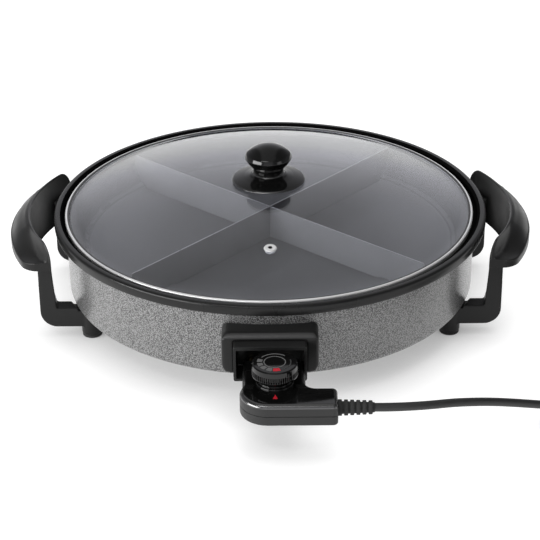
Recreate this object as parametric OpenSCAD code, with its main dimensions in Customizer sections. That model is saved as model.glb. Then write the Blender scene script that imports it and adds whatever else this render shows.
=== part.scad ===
// Electric grill pan: a round non-stick pan in a painted casing, with a lift-off glass lid,
// a lift-out cross divider and a pull-out thermostat controller on a mains lead.
// Sizes are in millimetres. The table is at z = 0 and the front of the pan faces -Y.

/* [Pan] */
// Outer radius of the rim
rim_r = 210; // [200:1:225]
// Height of the top of the rim above the table
rim_top = 106; // [102:1:114]
// Height of the outer face of the rim
rim_h = 9.4; // [8.6:0.1:10.5]
// Width of the top of the rim
rim_w = 8.3; // [7:0.1:9.5]
// Depth of the pan from the top of the rim to its floor
pan_depth = 37.5; // [34:0.5:40]
// Thickness of the pan's wall and floor
pan_t = 3.5; // [2.5:0.1:4]
// Depth of the lid's ledge below the top of the rim
ledge_depth = 6.6; // [6:0.1:7.2]
// Width of the lid's ledge
ledge_w = 8.2; // [7.5:0.1:9]
// Lean of the pan's wall from upright, in degrees
wall_lean = 22; // [16:1:26]
// Radius between the pan's floor and wall
floor_round = 12; // [8:0.5:16]

/* [Casing] */
// Radius by which the casing stands back from the rim
casing_inset = 11.2; // [9.5:0.1:12]
// Height of the casing's underside above the table
casing_z = 29; // [26:0.5:31]
// Sheet thickness of the casing and the base plate
casing_t = 1.2; // [0.8:0.1:1.6]
// Radius of the casing's lower edge
casing_round = 5; // [3:0.5:7]
// Width of the lip that carries the base plate
casing_lip = 20; // [18:0.5:24]

/* [Lid] */
// Gap between the lid's ring and the rim
lid_play = 3.2; // [2.4:0.1:3.8]
// Shift of the lid towards the left in its seat
lid_shift = 1; // [0:0.1:1.6]
// Thickness of the glass
glass_t = 4; // [3:0.1:4.2]
// Rise of the glass dome above its edge
dome_rise = 27.3; // [22:0.5:32]
// Width of the steel ring
ring_w = 4.2; // [3.6:0.1:5]
// Sheet thickness of the steel ring
ring_t = 0.8; // [0.6:0.1:1]
// Turn of the lid in its seat, in degrees
lid_turn = 0.7; // [0:0.1:5]
// Distance of the steam vent from the middle of the lid
vent_out = 126; // [110:1:140]
// Radius of the steam vent's hole
vent_r = 2; // [1.5:0.1:2.6]

/* [Knob] */
// Diameter of the knob's base plate
flange_d = 71; // [60:1:80]
// Height of the knob's base plate
flange_h = 7; // [5:0.5:9]
// Diameter of the knob's neck
neck_d = 29.5; // [26:0.5:34]
// Height of the knob's widest part above its base plate
neck_h = 16.4; // [14:0.2:20]
// Diameter of the knob's head
knob_d = 46; // [40:0.5:52]
// Height of the knob's head above its widest part
knob_h = 13; // [11:0.5:15]
// Radius of the screw that holds the knob
knob_screw_r = 2.5; // [2:0.1:3]

/* [Divider] */
// Sheet thickness of the two divider panels
divider_t = 1.5; // [1:0.1:2]
// Height of the divider
divider_h = 32.2; // [28:0.2:32.4]
// Gap between the ends of the divider and the pan's wall
divider_gap = 1.2; // [0.8:0.1:3]
// Turn of the divider about the pan's axis, in degrees
divider_turn = 48.4; // [40:0.2:50]

/* [Handles] */
// Gap for the fingers between the rim and the grip
finger_gap = 23.5; // [20:0.5:30]
// Radius of the grip's bow, seen from above
bow_r = 145; // [135:1:160]
// Width of the grip's sloping top
grip_w = 20; // [18:0.5:24]
// Height of the grip's ridge above the table
ridge_z = 105; // [102:0.5:110]
// Drop from the ridge to the grip's outer edge
grip_drop = 20.5; // [18:0.5:23]
// Depth of the outer lip of the grip
grip_lip = 7; // [5:0.5:8]
// Depth of the inner apron of the grip below the ridge
apron_h = 51; // [44:1:56]
// Thickness of the inner apron
apron_t = 5; // [4:0.5:7]
// Half of the grip's length
grip_half = 86; // [83:0.5:90]
// Length of the rounded ends of the grip's ridge, seen from the side
grip_round = 11; // [8:0.5:14]
// Radius of the outer corners of the grip, seen from above
grip_corner = 9; // [6:0.5:10]
// Distance of the legs' middles inside the grip's ends
leg_in = 17.5; // [17:0.5:20]
// Depth of a leg from front to back
leg_d = 16; // [14:0.5:17]
// Width of a leg
leg_w = 14.4; // [13:0.2:16]
// Distance of the legs outside the rim
leg_out = 10.3; // [9:0.1:12]
// Height of the leg's arm
arm_h = 20; // [18:0.5:22]
// Height of the arm above the table
arm_z = 12; // [9:0.5:13]
// Radius of the leg's outer bend
bend_r = 16; // [12:0.5:18]

/* [Feet] */
// Radius of the foot posts
foot_r = 10; // [9.2:0.1:11]
// Distance of the foot posts inside the casing's wall
foot_in = 26; // [25:0.5:29]
// Thickness of the rubber foot pads
pad_t = 3; // [2:0.5:4]
// Radius of the foot screws
foot_screw_r = 2.5; // [2:0.1:2.8]

/* [Heater] */
// Radius of the heating element's ring
element_ring = 118; // [100:1:140]
// Radius of the heating element's tube
element_r = 4; // [3.2:0.1:4.6]
// Distance of each contact pin from the probe
pin_x = 17; // [15:0.5:18]
// Radius of the contact pins
pin_r = 2.5; // [2:0.1:2.7]

/* [Socket] */
// Width of the socket's housing
housing_w = 85; // [80:1:95]
// Depth of the housing in front of the casing
housing_d = 19.2; // [17:0.2:22]
// Height of the housing
housing_h = 38; // [36:0.5:41]
// Width of the socket's collar
collar_w = 64; // [63:0.5:70]
// Height of the collar
collar_h = 34.3; // [30:0.1:36]
// Distance that the collar stands out of the housing
collar_proud = 10; // [7:0.5:12]
// Wall thickness of the collar
collar_t = 2.5; // [2:0.1:2.6]

/* [Controller] */
// Height of the controller's underside above the table
ctl_z = 36; // [34:0.5:38]
// Height of the lower shell
base_h = 9; // [8:0.5:11]
// Height of the upper shell
cover_h = 11; // [10:0.5:12]
// Wall thickness of both shells
shell_t = 2.2; // [1.6:0.1:2.6]
// Width of the controller's nose
nose_w = 53; // [48:0.5:53]
// Depth to which the nose goes into the collar
nose_in = 14; // [11:0.5:18]
// Distance of the controller's front from the front of the collar
ctl_reach = 62; // [60:0.5:66]
// Depth of the arm that holds the lead
ctl_arm_d = 26; // [24:0.5:28]
// Reach of the arm to the right of the socket's middle
ctl_arm_x = 57; // [54:0.5:62]
// Reach of the controller to the left of the socket's middle
ctl_left = 26; // [24.5:0.5:30]
// Length of the probe beyond the nose
probe_l = 78; // [70:1:90]
// Radius of the probe
probe_r = 3; // [2.4:0.1:3.2]

/* [Dial] */
// Radius of the dial
dial_r = 19.5; // [18:0.5:20]
// Height of the dial's grip
dial_h = 11; // [9:0.5:13]
// Height of the stepped boss under the dial
boss_h = 4; // [3:0.5:5]
// Radius of the stepped boss
boss_r = 16.5; // [15:0.5:18]
// Height of the dial's neck above the boss
dial_neck_h = 4.7; // [4:0.1:6]
// Number of grooves round the dial
dial_grooves = 40; // [20:1:60]

/* [Lead] */
// Diameter of the lead
lead_d = 7.5; // [7:0.1:7.6]
// Length of the strain relief
relief_l = 31; // [25:1:40]
// Diameter of the strain relief at the controller
relief_d = 14; // [12:0.5:15]
// Number of ribs on the strain relief
relief_ribs = 6; // [4:1:8]
// Diameter of the plug
plug_d = 37.4; // [36:0.1:37.6]
// Length of the plug's body
plug_l = 38; // [34:1:42]

/* [Hidden] */
$fn = 96;

// Clearance between pieces that move apart, between fixed pieces, and of a shaft that turns in its hole
gap = 0.3;
fit = 0.1;
run = 0.06;
// Overlap of a cutting shape past the face that it cuts
cut = 1;

// Levels and radii of the pan
inner_r = rim_r - rim_w;
ledge_r = inner_r - ledge_w;
ledge_z = rim_top - ledge_depth;
floor_z = rim_top - pan_depth;
under_z = rim_top - rim_h;
pan_under = floor_z - pan_t;
wall_run = (ledge_z - floor_z - floor_round * (1 - sin(wall_lean))) / cos(wall_lean);
foot_arc_r = ledge_r - wall_run * sin(wall_lean) - floor_round * cos(wall_lean);
foot_arc_z = floor_z + floor_round;
rim_round = 2.5;
casing_r = rim_r - casing_inset;
casing_in = casing_r - casing_t;
plate_z = casing_z + casing_t;
plate_r = casing_r - casing_round - gap;
bolt_boss_r = 9;
bolt_boss_h = 18;
bolt_r = 3;
bolt_head_h = 4;

// Levels of the lid
ring_r = inner_r - lid_play;
ring_z = ledge_z + fit;
ring_h = glass_t + 2 * ring_t;
glass_z = ring_z + ring_t + glass_t;
glass_r = ring_r - ring_t;
dome_edge = ring_r - ring_w;
dome_r = (dome_edge * dome_edge + dome_rise * dome_rise) / (2 * dome_rise);
apex_z = glass_z + dome_rise;
vent_tilt = asin(vent_out / dome_r);
flange_z = apex_z + fit;
neck_z = flange_z + flange_h;
head_z = neck_z + neck_h;
head_edge = 0.6;
crown_r = knob_d * 0.465;
crown_h = knob_h * 0.67;
crown_bow = (crown_r * crown_r + crown_h * crown_h) / (2 * crown_h);
eyelet_t = 0.8;
eyelet_w = 4;
dome_rings = 14;

// Levels of the divider
divider_z = floor_z + fit;
divider_top = divider_z + divider_h;

// Places of the handles
leg_y = grip_half - leg_in;
apron_clear = 0.9;
apron_slope = 0.6;
apron_edge = 2;
grip_step = 0.3;
ridge_round = 2;
ridge_lip = 0.6;
shelf_step = 2;
shelf_from = 38;
shelf_run = 42;
shelf_bulge = 1;
edge_rise = 3.5;
edge_from = 30;
edge_run = 45;
web_w = 7;
web_h = 2;
bow_x = rim_r + finger_gap - bow_r;
grip_out = bow_r + grip_w;
edge_z = ridge_z - grip_drop;
lip_z = edge_z - grip_lip;
apron_z = ridge_z - apron_h;
apron_half = leg_y - leg_d / 2 - apron_clear;
leg_x = rim_r + leg_out;
foot_x = casing_r - foot_in;
tenon_r = 2.4;
tenon_h = 2.4;
tenon_in = 3.8;
pad_plate_h = 3.4;
pad_side = 1;
pad_out = 2;
pad_in = 0.8;
pad_round = 3;
screw_seat_z = 16;
screw_head_r = 4.6;
screw_head_h = 4;
nut_h = 4;
leg_taper = 1.5;
bend_out = 0.5;
pad_inset = 0.5;
plug_in_h = 6;

// Places of the socket and the controller, measured from the pan's axis
parting_z = ctl_z + base_h;
ctl_top = parting_z + cover_h;
pin_z = parting_z + cover_h / 2;
housing_y = -(casing_r + housing_d);
collar_y = housing_y - collar_proud;
collar_z = parting_z - gap - collar_t;
collar_top = 3.5;
collar_round = 2;
back_wall_t = 6;
opening_h = collar_h - collar_t - collar_top;
socket_back = -(casing_r + fit);
socket_screw_r = 2;
socket_screw_x = (collar_w + housing_w) / 4;
socket_screw_low = 2;
socket_screw_z = collar_z + collar_h - socket_screw_low;
socket_screw_y = housing_y + 9;
socket_head_h = 2.5;
socket_seat_y = gap - sqrt(casing_in * casing_in - pow(socket_screw_x + screw_head_r, 2));
back_wall_y = socket_back - back_wall_t;
nose_y = collar_y + nose_in;
nose_mid = 2.5;
neck_left = 24;
neck_right = 30.2;
ctl_front = collar_y - ctl_reach;
arm_back = ctl_front + ctl_arm_d;
shell_back = collar_y - cut;
corner_r = 25;
edge_r = 3;
neck_flare = 8;
dial_x = 4;
dial_back = 4;
dial_y = collar_y - gap - dial_r - dial_back;
boss_top = ctl_top + boss_h;
dial_z = boss_top + gap;
shaft_r = 3;
boss_step = 1.5;
groove_r = 1;
therm_d = 32;
therm_w = 44;
therm_seat = 6;
sleeve_r = 3.6;
pin_reach = 22;
pin_tip_y = nose_y - pin_reach;
probe_tip_y = nose_y + probe_l;
sensor_w = 18;
sensor_d = 28;
sensor_end = 8;
sensor_y = probe_tip_y + sensor_end;
bush_r = 6;
bush_step = 3;
bush_in = 6;

// The origin is under the middle of the box round the object, so the pan's axis lies behind it
axis_y = (-ctl_front - rim_r) / 2;

// Route of the lead from the strain relief to its coil, chosen by hand, in the part's own frame
lead_z = 46;
lead_route = [[88, -237, 46], [100, -237, 46], [118, -236, 46], [136, -233, 45.4], [154, -228, 44],
    [172, -222, 41], [190, -215, 36.5], [208, -207, 30.5], [226, -199, 24], [244, -191, 17.5],
    [262, -184, 11.6], [280, -178, 7.6], [298, -174, 5.8], [316, -172, 5.5]];
coil_x = 324;
coil_y = -122;
coil_z = 5.5;
coil_r = 50;
coil_step = 8.2;
turns_in = 2;
turns_climb = 0.5;
turns_out = 1.75;
coil_turns = turns_in + turns_climb + turns_out;
coil_rings = 24;
coil_end = 8;
plug_relief_l = 34;
plug_axis_z = 19;
tie_w = 8;
tie_t = 1.2;
tie_slack = 0.5;

// Points of an arc from angle a to angle b about a centre
function arc(x, y, r, a, b, n = 8) =
    [for (i = [0:n]) let (t = a + (b - a) * i / n) [x + r * cos(t), y + r * sin(t)]];

// Outline of a rectangle with rounded corners
function round_box(x0, y0, x1, y1, r) = concat(
    arc(x1 - r, y1 - r, r, 0, 90), arc(x0 + r, y1 - r, r, 90, 180),
    arc(x0 + r, y0 + r, r, 180, 270), arc(x1 - r, y0 + r, r, 270, 360));

// Height of the glass's outer face at a radius
function dome_at(r) = apex_z - dome_r + sqrt(dome_r * dome_r - r * r);

// Point on the coil after a number of turns: in on the lower layer, a climb, out on the upper one
function smooth(t) = t * t * (3 - 2 * t);
function coil_radius(n) = let (mid = turns_in + turns_climb / 2)
    coil_r - coil_step * (n < mid ? n : 2 * mid - n);
function coil_level(n) = let (up = min(max((n - turns_in) / turns_climb, 0), 1),
    tail = max((n - coil_turns + 0.25) / 0.25, 0))
    coil_z + coil_step * smooth(up) + (plug_axis_z - coil_z - coil_step) * smooth(tail);
function coil_point(n) = let (a = -90 + 360 * n, r = coil_radius(n))
    [coil_x + r * cos(a), coil_y + r * sin(a), coil_level(n)];
coil_count = ceil(coil_turns * coil_rings);
coil_out = coil_point(coil_turns);
coil_path = concat([[coil_x - coil_end, coil_y - coil_r, coil_z]],
    [for (i = [0:coil_count]) coil_point(coil_turns * i / coil_count)],
    [coil_out + [0, coil_end, 0]]);

// Least gap of the coil to itself, over points that lie more than half a turn apart along it
coil_gap = min([for (i = [0:len(coil_path) - 1], j = [i + coil_rings / 2:len(coil_path) - 1])
    norm(coil_path[i] - coil_path[j])]) - lead_d;
echo("least gap of the coil to itself", coil_gap);

// Tube of triangles swept along a path
function heading(path, i) = let (v = path[min(i + 1, len(path) - 1)] - path[max(i - 1, 0)]) v / norm(v);
function ring_at(path, i, r, sides) = let (t = heading(path, i),
    s = cross(t, [0, 0, 1]) / norm(cross(t, [0, 0, 1])), u = cross(t, s))
    [for (k = [0:sides - 1]) let (a = 360 * k / sides) path[i] + r * (cos(a) * s + sin(a) * u)];
module tube(path, r, sides) skin([for (i = [0:len(path) - 1]) each ring_at(path, i, r, sides)], sides,
    [for (k = [1:sides - 2]) [0, k, k + 1]]);

// Skin of triangles over outlines that follow each other and run clockwise as seen along them,
// closed by a cap at each end
module skin(points, sides, cap) {
    n = len(points) / sides;
    last = (n - 1) * sides;
    walls = [for (i = [0:n - 2], k = [0:sides - 1]) let (a = i * sides + k, b = i * sides + (k + 1) % sides)
        each [[a, a + sides, b], [b, a + sides, b + sides]]];
    finish = [for (t = cap) [last + t[0], last + t[2], last + t[1]]];
    polyhedron(points, concat(walls, cap, finish));
}

// Round bar between two points, with round ends that join bars at a bend
module bar(p, q, r) {
    v = q - p;
    turn = atan2(v[1], v[0]);
    tilt = acos(v[2] / norm(v));
    translate(p) rotate([0, tilt, turn]) cylinder(r = r, h = norm(v));
}

// Places every piece that is modelled about the pan's axis
module on_axis() { translate([0, axis_y, 0]) children(); }

// Cylinder along Y from one place to another
module along_y(x, y0, y1, z, r) {
    translate([x, y1, z]) rotate([90, 0, 0]) cylinder(r = r, h = y1 - y0);
}

// Profile drawn in X and Z and drawn out along Y from one place to another
module prism_y(y0, y1, outline) {
    translate([0, y1, 0]) rotate([90, 0, 0]) linear_extrude(y1 - y0) polygon(outline);
}

// Repeats a piece at the four feet
module at_feet() {
    for (sx = [-1, 1], sy = [-1, 1]) translate([sx * foot_x, sy * leg_y, 0]) children();
}

// Pan with its rim, the ledge for the lid and the boss for the tie bolt
module pan_body() on_axis() color([0.13, 0.13, 0.14]) difference() {
    union() {
        rotate_extrude() polygon(concat(
            [[0, floor_z]],
            arc(foot_arc_r, foot_arc_z, floor_round, -90, -wall_lean),
            [[ledge_r, ledge_z], [inner_r, ledge_z]],
            arc(inner_r + rim_round, rim_top - rim_round, rim_round, 180, 90, 4),
            arc(rim_r - rim_round, rim_top - rim_round, rim_round, 90, 0, 4),
            [[rim_r, under_z + cut], [rim_r - cut, under_z]],
            [[ledge_r + pan_t / cos(wall_lean) - (ledge_z - under_z) * tan(wall_lean), under_z]],
            arc(foot_arc_r, foot_arc_z, floor_round + pan_t, -wall_lean, -90),
            [[0, pan_under]]));
        translate([0, 0, pan_under - bolt_boss_h]) cylinder(r = bolt_boss_r, h = bolt_boss_h + pan_t / 2);
    }
    translate([0, 0, pan_under - bolt_boss_h - cut])
        cylinder(r = bolt_r + fit, h = bolt_boss_h + cut - pan_t / 2);
}

// Painted casing with its bottom lip and the holes for the socket and the feet
module casing() on_axis() color([0.55, 0.55, 0.55]) difference() {
    rotate_extrude() polygon(concat(
        [[casing_r, under_z]],
        arc(casing_r - casing_round, casing_z + casing_round, casing_round, 0, -90, 6),
        [[casing_r - casing_lip, casing_z], [casing_r - casing_lip, plate_z]],
        arc(casing_r - casing_round, casing_z + casing_round, casing_round - casing_t, -90, 0, 6),
        [[casing_in, under_z]]));
    at_feet() translate([0, 0, casing_z - cut]) cylinder(r = foot_screw_r + fit, h = casing_t + 2 * cut);
    for (x = [-pin_x, pin_x]) along_y(x, -casing_r - cut, -casing_r / 2, pin_z, bush_r + fit);
    along_y(0, -casing_r - cut, -casing_r / 2, pin_z, probe_r + gap);
    for (x = [-1, 1]) along_y(x * socket_screw_x, -casing_r - cut, -casing_r / 2,
        socket_screw_z, socket_screw_r + fit);
}

// Steel plate that closes the casing from below
module base_plate() on_axis() color([0.68, 0.68, 0.7]) difference() {
    translate([0, 0, plate_z]) cylinder(r = plate_r, h = casing_t);
    at_feet() translate([0, 0, casing_z]) cylinder(r = foot_screw_r + fit, h = casing_t * 3);
    translate([0, 0, casing_z]) cylinder(r = bolt_r + fit, h = casing_t * 3);
}

// Tube that keeps the base plate off the pan's boss
module spacer_tube() on_axis() color([0.7, 0.7, 0.72]) difference() {
    translate([0, 0, plate_z + casing_t])
        cylinder(r = bolt_boss_r, h = pan_under - bolt_boss_h - plate_z - casing_t);
    cylinder(r = bolt_r + fit, h = rim_top);
}

// Bolt that ties the base plate to the pan
module pan_bolt() on_axis() color([0.72, 0.72, 0.74]) {
    translate([0, 0, plate_z - bolt_head_h]) cylinder(r = bolt_r * 1.8, h = bolt_head_h, $fn = 6);
    translate([0, 0, plate_z - cut]) cylinder(r = bolt_r, h = pan_under - bolt_boss_h / 2 - plate_z + cut);
}

// Sheathed heating element under the pan's floor, with its ends brought out to the socket
element_z = pan_under - element_r;
element_turn = 16;
element_open = asin((pin_x + element_turn) / (element_ring + element_turn));
element_front = -(element_ring + element_turn) * cos(element_open);
element_run = 38;
element_drop = -casing_r + element_run;
element_gap = 10;
element_end = -casing_in + element_gap;
module element_half() {
    translate([(element_ring + element_turn) * sin(element_open), element_front, element_z])
        rotate([0, 0, 90 + element_open]) rotate_extrude(angle = 90 - element_open)
        translate([element_turn, 0]) circle(r = element_r);
    rotate([0, 0, -90 + element_open]) translate([element_ring, 0, element_z]) sphere(r = element_r + fit);
    translate([pin_x, element_front, element_z]) sphere(r = element_r + fit);
    bar([pin_x, element_front, element_z], [pin_x, element_drop, pin_z], element_r);
    translate([pin_x, element_drop, pin_z]) sphere(r = element_r + fit);
    along_y(pin_x, element_end, element_drop, pin_z, element_r);
}
module heating_element() on_axis() color([0.45, 0.42, 0.4]) {
    translate([0, 0, element_z]) rotate([0, 0, -90 + element_open])
        rotate_extrude(angle = 360 - 2 * element_open) translate([element_ring, 0]) circle(r = element_r);
    element_half();
    mirror([1, 0, 0]) element_half();
}

// Block under the pan that takes the tip of the probe
module sensor_block() on_axis() color([0.75, 0.75, 0.77]) difference() {
    translate([-sensor_w / 2, sensor_y - sensor_d, pin_z - probe_r * 2])
        cube([sensor_w, sensor_d, pan_under - pin_z + probe_r * 2]);
    along_y(0, sensor_y - sensor_d - cut, probe_tip_y + cut, pin_z, probe_r + gap);
}

// Contact pins of the element, inside the socket's collar
module terminal_pins() on_axis() color([0.8, 0.78, 0.72]) {
    for (x = [-pin_x, pin_x]) along_y(x, pin_tip_y, element_end, pin_z, pin_r);
}

// Ceramic bushes that carry the pins through the casing
module terminal_bushes() on_axis() color([0.92, 0.9, 0.85]) {
    for (x = [-pin_x, pin_x]) difference() {
        along_y(x, back_wall_y + bush_step, -casing_in + bush_in, pin_z, bush_r);
        along_y(x, back_wall_y, 0, pin_z, pin_r);
    }
}

// Front outline of the housing, with its rounded upper corners
housing_roof = 6.5;
housing_top = collar_z + collar_h + housing_roof;
housing_z = housing_top - housing_h;
housing_cut = 6;
housing_taper = 3;
housing_bevel = 3;
function housing_outline() = concat(
    [[-housing_w / 2 + housing_taper, housing_z], [housing_w / 2 - housing_taper, housing_z],
     [housing_w / 2, housing_z + 2 * housing_taper]],
    arc(housing_w / 2 - housing_cut, housing_top - housing_cut, housing_cut, 0, 90, 5),
    arc(housing_cut - housing_w / 2, housing_top - housing_cut, housing_cut, 90, 180, 5),
    [[-housing_w / 2, housing_z + 2 * housing_taper]]);

// Moulded housing on the front of the casing
module socket_housing() on_axis() color([0.09, 0.09, 0.09]) difference() {
    prism_y(housing_y, -casing_r / 2, housing_outline());
    translate([0, 0, housing_z - cut]) cylinder(r = casing_r + fit, h = housing_h + 2 * cut);
    translate([-collar_w / 2 - fit, housing_y - cut, housing_z - cut])
        cube([collar_w + 2 * fit, casing_r, collar_z + collar_h + fit - housing_z + cut]);
    translate([-housing_w, housing_y, housing_top]) rotate([-45, 0, 0])
        translate([0, -housing_bevel, -housing_bevel])
        cube([2 * housing_w, 2 * housing_bevel, 2 * housing_bevel]);
    for (x = [-1, 1])
        along_y(x * socket_screw_x, socket_screw_y - cut, 0, socket_screw_z, socket_screw_r + fit);
}

// Collar that takes the controller's nose
module socket_collar() on_axis() color([0.07, 0.07, 0.07]) difference() {
    prism_y(collar_y, -casing_r / 2,
        round_box(-collar_w / 2, collar_z, collar_w / 2, collar_z + collar_h, collar_round));
    translate([0, 0, collar_z - cut]) cylinder(r = casing_r + fit, h = collar_h + 2 * cut);
    translate([-collar_w / 2 + collar_t, collar_y - cut, collar_z + collar_t])
        cube([collar_w - 2 * collar_t, back_wall_y - collar_y + cut, opening_h]);
    for (x = [-pin_x, pin_x]) {
        along_y(x, back_wall_y - cut, 0, pin_z, pin_r + fit);
        along_y(x, back_wall_y + bush_step, 0, pin_z, bush_r + fit);
    }
    along_y(0, back_wall_y - cut, 0, pin_z, probe_r + gap);
}

// Screws that hold the housing from inside the casing
module socket_screws() on_axis() color([0.7, 0.7, 0.72]) {
    for (x = [-1, 1]) translate([x * socket_screw_x, 0, socket_screw_z]) {
        along_y(0, socket_screw_y, socket_seat_y, 0, socket_screw_r);
        along_y(0, socket_seat_y, socket_seat_y + socket_head_h, 0, screw_head_r);
    }
}

// Forms of the right-hand grip at a place along its length: its two sides seen from above, the level
// of its ridge, the level at which its sloping shelf leaves the wall, and the level of its outer edge
function past(y, from, length) = min(max((abs(y) - from) / length, 0), 1);
function rounded(t) = 1 - sqrt(1 - t * t);
function in_at(y) = bow_x + sqrt(bow_r * bow_r - y * y);
function out_at(y) = bow_x + sqrt(grip_out * grip_out - y * y)
    - grip_corner * rounded(past(y, grip_half - grip_corner, grip_corner));
function ridge_at(y) = ridge_z
    - (grip_drop - shelf_step) * rounded(past(y, grip_half - grip_round, grip_round));
function shelf_at(y) = min(ridge_at(y) - ridge_lip, ridge_z - ridge_round
    - (grip_drop - ridge_round - shelf_step) * smooth(past(y, shelf_from, shelf_run)));
function edge_at(y) = edge_z + edge_rise * (1 - smooth(past(y, edge_from, edge_run)));

// Closed outline of the grip at a place along its length
function grip_ring(y) = let (xi = in_at(y), xo = out_at(y), top = ridge_at(y), foot = shelf_at(y),
    edge = edge_at(y), wall = xi + apron_t, deep = abs(y) <= apron_half, low = lip_z + grip_step)
    [[xi, y, deep ? apron_z : low], [xi, y, top - ridge_round],
     [xi + ridge_round * 0.3, y, top - ridge_round * 0.3], [xi + ridge_round, y, top],
     [xi + ridge_round * 1.8, y, top - ridge_lip / 2], [wall, y, foot],
     [wall + ridge_round, y, foot + (edge - foot) * ridge_round / (xo - wall)],
     [(wall + xo) / 2, y, (foot + edge) / 2 + shelf_bulge * (1 - past(y, shelf_from, shelf_run))],
     [xo - ridge_round * 0.8, y, edge + ridge_round * 0.4], [xo, y, edge - ridge_round * 0.5],
     [xo, y, low], [wall + web_w, y, deep ? lip_z - web_h : low + grip_step],
     [wall, y, deep ? lip_z - web_h - web_w : low + 2 * grip_step],
     [xi + apron_edge, y, deep ? apron_z : low + grip_step]];
grip_cap = [[0, 1, 2], [0, 2, 3], [0, 3, 13], [13, 3, 4], [13, 4, 12], [12, 4, 5], [12, 5, 6], [12, 6, 11],
    [11, 6, 7], [11, 7, 8], [11, 8, 10], [10, 8, 9]];

// Places of the outlines, from the grip's middle to one end
grip_flat = grip_half - grip_round;
grip_stops = concat([for (i = [0:6]) apron_half * i / 6],
    [for (i = [0:3]) apron_half + apron_slope + (grip_flat - apron_half - apron_slope) * i / 3],
    [for (i = [1:6]) grip_flat + grip_round * sin(15 * i)]);

// Right-hand grip about the pan's axis, with the pads that sit on its legs
module grip_solid() difference() {
    union() {
        skin(concat([for (i = [len(grip_stops) - 1:-1:1]) each grip_ring(-grip_stops[i])],
            [for (y = grip_stops) each grip_ring(y)]), len(grip_ring(0)), grip_cap);
        for (s = [-1, 1]) translate([0, 0, lip_z]) linear_extrude(pad_plate_h) polygon(round_box(
            leg_x - leg_w + pad_in, s > 0 ? leg_y - leg_d / 2 - pad_side : -grip_half + pad_out,
            leg_x + pad_out, s > 0 ? grip_half - pad_out : -leg_y + leg_d / 2 + pad_side, pad_round));
    }
    for (s = [-1, 1]) translate([leg_x - tenon_in, s * leg_y, lip_z - cut])
        cylinder(r = tenon_r + fit, h = tenon_h + cut + fit);
}
module left_grip() on_axis() color([0.1, 0.1, 0.1]) mirror([1, 0, 0]) grip_solid();
module right_grip() on_axis() color([0.1, 0.1, 0.1]) grip_solid();

// Front outline of a right-hand leg with its arm
function leg_outline() = concat(
    [[leg_x - leg_w, lip_z], [leg_x - leg_w - leg_taper, arm_z + arm_h],
     [foot_x, arm_z + arm_h], [foot_x, arm_z]],
    arc(leg_x + bend_out - bend_r, arm_z + bend_r, bend_r, -90, 0),
    [[leg_x, lip_z]]);

// Right-hand leg at the back: a bent leg, its foot post, and the tenon that holds the grip
module leg_solid() difference() {
    union() {
        prism_y(leg_y - leg_d / 2, leg_y + leg_d / 2, leg_outline());
        translate([foot_x, leg_y, pad_t]) cylinder(r = foot_r, h = arm_z + arm_h - pad_t);
        translate([leg_x - tenon_in, leg_y, lip_z - cut]) cylinder(r = tenon_r, h = tenon_h + cut);
    }
    translate([0, 0, casing_z]) cylinder(r = casing_r + fit, h = arm_z + arm_h);
    translate([foot_x, leg_y, 0]) cylinder(r = foot_screw_r + fit, h = rim_top);
    translate([foot_x, leg_y, 0]) cylinder(r = screw_head_r + 4 * fit, h = screw_seat_z);
}
module leg(sx, sy) on_axis() color([0.1, 0.1, 0.1])
    mirror([sx < 0 ? 1 : 0, 0, 0]) mirror([0, sy < 0 ? 1 : 0, 0]) leg_solid();
module left_front_leg() leg(-1, -1);
module left_back_leg() leg(-1, 1);
module right_front_leg() leg(1, -1);
module right_back_leg() leg(1, 1);

// Rubber pads plugged into the foot posts
module foot_pads() on_axis() color([0.06, 0.06, 0.06]) at_feet() {
    cylinder(r = foot_r - pad_inset, h = pad_t);
    cylinder(r = screw_head_r + 2 * fit, h = pad_t + plug_in_h);
}

// Screws that hold the feet and the base plate
module foot_screws() on_axis() color([0.7, 0.7, 0.72]) at_feet() {
    translate([0, 0, screw_seat_z - screw_head_h]) cylinder(r = screw_head_r, h = screw_head_h);
    translate([0, 0, screw_seat_z - cut])
        cylinder(r = foot_screw_r, h = plate_z + casing_t + nut_h + 2 * cut - screw_seat_z);
}

// Nuts of the foot screws, inside the casing
module foot_nuts() on_axis() color([0.7, 0.7, 0.72]) at_feet() difference() {
    translate([0, 0, plate_z + casing_t]) cylinder(r = screw_head_r, h = nut_h, $fn = 6);
    cylinder(r = foot_screw_r + fit, h = rim_top);
}

// Outline of a divider panel, half-lapped with the other at its middle
divider_corner = 8;
divider_slant = 6;
divider_end = ledge_r - (ledge_z - divider_top) * tan(wall_lean) - divider_gap;
function panel_half() = [[foot_arc_r - divider_gap, divider_z],
    [ledge_r - (ledge_z - foot_arc_z) * tan(wall_lean) - divider_gap - floor_round * 0.2,
     foot_arc_z - floor_round * 0.3],
    [divider_end - divider_corner * tan(wall_lean), divider_top - divider_corner],
    [divider_end - divider_slant, divider_top]];
module panel(slot_low) difference() {
    prism_y(-divider_t / 2, divider_t / 2,
        concat(panel_half(), [for (i = [3:-1:0]) [-panel_half()[i][0], panel_half()[i][1]]]));
    translate([-divider_t / 2 - fit, -divider_t, slot_low ? divider_z - cut : divider_z + divider_h / 2])
        cube([divider_t + 2 * fit, 2 * divider_t, divider_h / 2 + cut]);
}
module divider_panel_a() on_axis() color([0.3, 0.3, 0.31]) rotate([0, 0, divider_turn]) panel(true);
module divider_panel_b() on_axis() color([0.3, 0.3, 0.31]) rotate([0, 0, divider_turn - 90]) panel(false);

// Places the pieces of the lid, which sits a little to the left in its seat
module on_lid() { on_axis() translate([-lid_shift, 0, 0]) rotate([0, 0, lid_turn]) children(); }

// Places a piece on the glass at the steam vent, square to the glass
module at_vent() {
    translate([0, -vent_out, dome_at(vent_out)]) rotate([vent_tilt, 0, 0]) children();
}

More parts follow.
